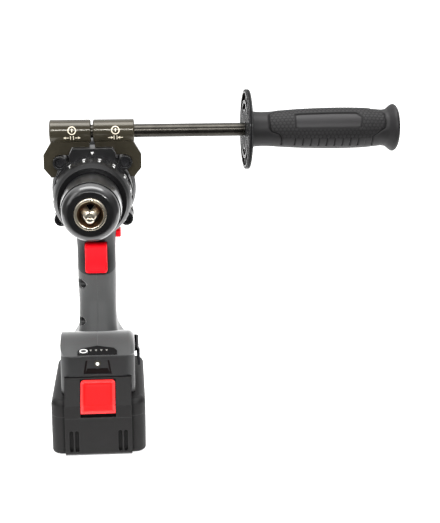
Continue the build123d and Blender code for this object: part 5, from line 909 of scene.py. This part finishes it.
def make_gauge_marks():
    """Four charge marks, the ring round the push button and the index on the gear case."""
    face = (0.0, -math.sin(GAUGE_SLOPE), math.cos(GAUGE_SLOPE))
    for number, x in enumerate(CHARGE_MARKS_X, 1):
        mark = arrow_head(0.0, 0.0, 1.1, math.pi)
        spot = (x, CHARGE_MARKS_Y, CHARGE_MARKS_H)
        print_on(mark, "charge_mark_%d" % number, "gauge_panel", "tool", spot, face, BACK, GREY_INK)
    ring = hoop(1.85, 1.25, 1.75)
    print_on(ring, "gauge_ring", "gauge_button", "gauge_button", GAUGE_RING_SPOT, face, BACK, WHITE_INK)
    index = arrow_head(0.0, 0.0, 1.5, math.pi)
    print_on(index, "collar_index", "gear_case", "tool", COLLAR_INDEX_SPOT, FRONT, UP, WHITE_INK)


# Niche of the work light
NICHE_FLOOR_Y = -39.0
NICHE_PLATE = 0.3
RIM_SIDES = 64
# Section of the rim, each point as radius and depth
RIM_SECTION = (
    (2.08, -38.98), (2.12, -39.4), (2.2, -39.5), (2.4, -39.5), (2.5, -39.4), (2.55, -38.98), (2.08, -38.98),
)


def make_lamp_rim():
    """Reflector ring round the work light: a flange turned up into a lip."""
    first_radius, first_y = RIM_SECTION[0]
    bpy.ops.object.select_all(action="DESELECT")
    bpy.ops.mesh.primitive_circle_add(
        vertices=RIM_SIDES, radius=first_radius * MM, fill_type="NOTHING",
        location=(0.0, first_y * MM, LAMP_H * MM), rotation=FACE_FRONT,
    )
    piece = settle(bpy.context.object)
    piece.name = "lamp_rim"
    bpy.ops.object.mode_set(mode="EDIT")
    bpy.ops.mesh.select_all(action="SELECT")
    for (radius, y), (next_radius, next_y) in zip(RIM_SECTION[:-1], RIM_SECTION[1:]):
        bpy.ops.mesh.extrude_edges_move(TRANSFORM_OT_translate={"value": (0.0, (next_y - y) * MM, 0.0)})
        grow = next_radius / radius
        bpy.ops.transform.resize(value=(grow, 1.0, grow), center_override=(0.0, next_y * MM, LAMP_H * MM))
    bpy.ops.mesh.select_all(action="SELECT")
    bpy.ops.mesh.remove_doubles(threshold=0.000005)
    bpy.ops.mesh.normals_make_consistent(inside=False)
    bpy.ops.object.mode_set(mode="OBJECT")
    bpy.ops.object.shade_smooth_by_angle(angle=math.radians(40.0))
    piece.data.materials.append(LAMP_RIM)
    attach(piece, "tool")


def niche_shade_plate(x, height, width, tall, taper=1.0, lean=0.0):
    """Thin dark plate on the niche's floor with eased edges, painted as the niche's shade. Its top is
    narrowed and moved sideways.
    """
    bpy.ops.object.select_all(action="DESELECT")
    bpy.ops.mesh.primitive_plane_add(
        size=MM, location=(x * MM, NICHE_FLOOR_Y * MM, height * MM), rotation=FACE_FRONT
    )
    plate = bpy.context.object
    plate.scale = (width, tall, 1.0)
    settle(plate)
    choose(plate, read_places(plate.data)[:, 2] > height)
    bpy.ops.transform.resize(value=(taper, 1.0, 1.0), center_override=(x * MM, 0.0, 0.0))
    bpy.ops.transform.translate(value=(lean * MM, 0.0, 0.0))
    bpy.ops.mesh.select_mode(type="FACE")
    bpy.ops.mesh.select_all(action="SELECT")
    bpy.ops.mesh.extrude_region_move(TRANSFORM_OT_translate={"value": (0.0, -NICHE_PLATE * MM, 0.0)})
    bpy.ops.mesh.select_all(action="SELECT")
    bpy.ops.mesh.normals_make_consistent(inside=False)
    bpy.ops.mesh.bevel(offset=NICHE_PLATE * 0.35 * MM, segments=2)
    bpy.ops.object.mode_set(mode="OBJECT")
    return plate


def make_niche_shade():
    """Dark plates painted as the niche's shade: one below the work light for its deeper lower part, with a
    red tint painted as the release button's reflection, and two on the cheeks of the niche.
    """
    plates = [niche_shade_plate(x=0.0, height=65.4, width=19.6, tall=4.4, taper=0.84)]
    for side in (-1.0, 1.0):
        plates.append(niche_shade_plate(x=side * 10.3, height=68.8, width=1.5, tall=11.2, lean=-side * 1.75))
    piece = joined(plates)
    piece.name = "lamp_niche_shade"
    piece.data.materials.clear()
    piece.data.materials.append(NICHE_SHADE_BLACK)
    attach(piece, "tool")


make_release_cap()
make_grip_skin()
make_claw_signs()
make_collar_marks()
make_gauge_marks()
make_lamp_rim()
make_niche_shade()


# Stage: the camera stands as the photograph's did, with its place in metres and its turns in degrees
CAMERA_EYE = Vector((0.0262, -0.7938, 0.3548))
CAMERA_YAW, CAMERA_PITCH, CAMERA_ROLL = 3.577, 13.114, -0.27
CAMERA_LENS, CAMERA_SENSOR = 69.46, 36.0
CAMERA_SHIFT_X, CAMERA_SHIFT_Y = 0.058, -0.061
# Brightness of the sky in front and behind, what its sides lose and what it gains overhead
FRONT_LEVEL, REAR_LEVEL, SIDE_LOSS, TOP_GAIN = 0.04, 0.90, 0.70, 0.8


def place_camera():
    """Camera at the photograph's viewing angle."""
    yaw, pitch, roll = (math.radians(turn) for turn in (CAMERA_YAW, CAMERA_PITCH, CAMERA_ROLL))
    ahead = Vector((math.sin(yaw) * math.cos(pitch), math.cos(yaw) * math.cos(pitch), -math.sin(pitch)))
    level = Vector((math.cos(yaw), -math.sin(yaw), 0.0))
    above = level.cross(ahead)
    right = level * math.cos(roll) + above * math.sin(roll)
    up = above * math.cos(roll) - level * math.sin(roll)
    matrix = Matrix((right, up, -ahead)).transposed().to_4x4()
    matrix.translation = CAMERA_EYE
    data = bpy.data.cameras.new("camera")
    data.lens = CAMERA_LENS
    data.sensor_width = CAMERA_SENSOR
    data.shift_x = CAMERA_SHIFT_X
    data.shift_y = CAMERA_SHIFT_Y
    data.clip_start = 0.01
    camera = bpy.data.objects.new("camera", data)
    camera.matrix_world = matrix
    bpy.context.scene.collection.objects.link(camera)
    bpy.context.scene.camera = camera


def soft_light(name, place, target, size, power):
    """Rectangular studio light aimed at a target."""
    data = bpy.data.lights.new(name, "AREA")
    data.shape = "RECTANGLE"
    data.size, data.size_y = size
    data.energy = power
    light = bpy.data.objects.new(name, data)
    light.location = place
    light.rotation_euler = (Vector(target) - Vector(place)).to_track_quat("-Z", "Y").to_euler()
    bpy.context.scene.collection.objects.link(light)


def backdrop(name, size, place, level):
    """Large white sheet of the studio, glowing at a level."""
    bpy.ops.object.select_all(action="DESELECT")
    bpy.ops.mesh.primitive_plane_add(size=1.0, location=place)
    sheet = bpy.context.object
    sheet.name = name
    sheet.scale = (*size, 1.0)
    settle(sheet)
    paint = Finish(name + "_paint", Roughness=0.6, Emission_Strength=level)
    white = paint.mix(paint.noise(3.0, 3.0, 0.5), (0.93, 0.93, 0.93), (0.95, 0.95, 0.95))
    paint.feed(Base_Color=white, Emission_Color=white)
    sheet.data.materials.append(paint.material)
    return sheet


def light_sky():
    """White as the camera sees it. As light it is dim in front, bright above and softer at the sides."""
    sky = Sky("studio")
    across, away, height = (
        sky.node("ShaderNodeSeparateXYZ", None, {"Vector": sky.coordinates}, axis) for axis in "XYZ"
    )
    behind = away.limit(-0.70, -0.42)
    sides = (across * across).limit(0.30, 0.90)
    overhead = height.limit(0.45, 0.90)
    level = FRONT_LEVEL + behind * (REAR_LEVEL - sides * SIDE_LOSS + overhead * TOP_GAIN)
    seen = sky.node("ShaderNodeLightPath", out="Is Camera Ray")
    sky.feed(Color=level * (1.0 - seen) + seen)
    bpy.context.scene.world = sky.world


def set_stage():
    """Pale floor with a brighter sheet that only gloss mirrors, the sky and three soft lights."""
    floor = backdrop("floor", size=(600.0, 600.0), place=(0.0, 0.0, -0.0002), level=0.6)
    floor.visible_glossy = False
    shine = backdrop("floor_shine", size=(1.8, 4.0), place=(0.0, 1.8, -0.0006), level=0.9)
    shine.visible_camera = False
    shine.visible_diffuse = False
    light_sky()
    soft_light("strip", place=(0.1, -1.6, 0.86), target=(0.05, 0.0, 0.22), size=(1.6, 0.06), power=22.0)
    soft_light("key", place=(-0.85, -0.75, 0.75), target=(0.0, 0.0, 0.16), size=(0.5, 0.8), power=2.6)
    soft_light("top", place=(0.05, -0.15, 1.15), target=(0.05, 0.0, 0.15), size=(1.1, 0.5), power=11.0)
    bpy.context.scene.view_settings.view_transform = "Standard"


place_camera()
set_stage()
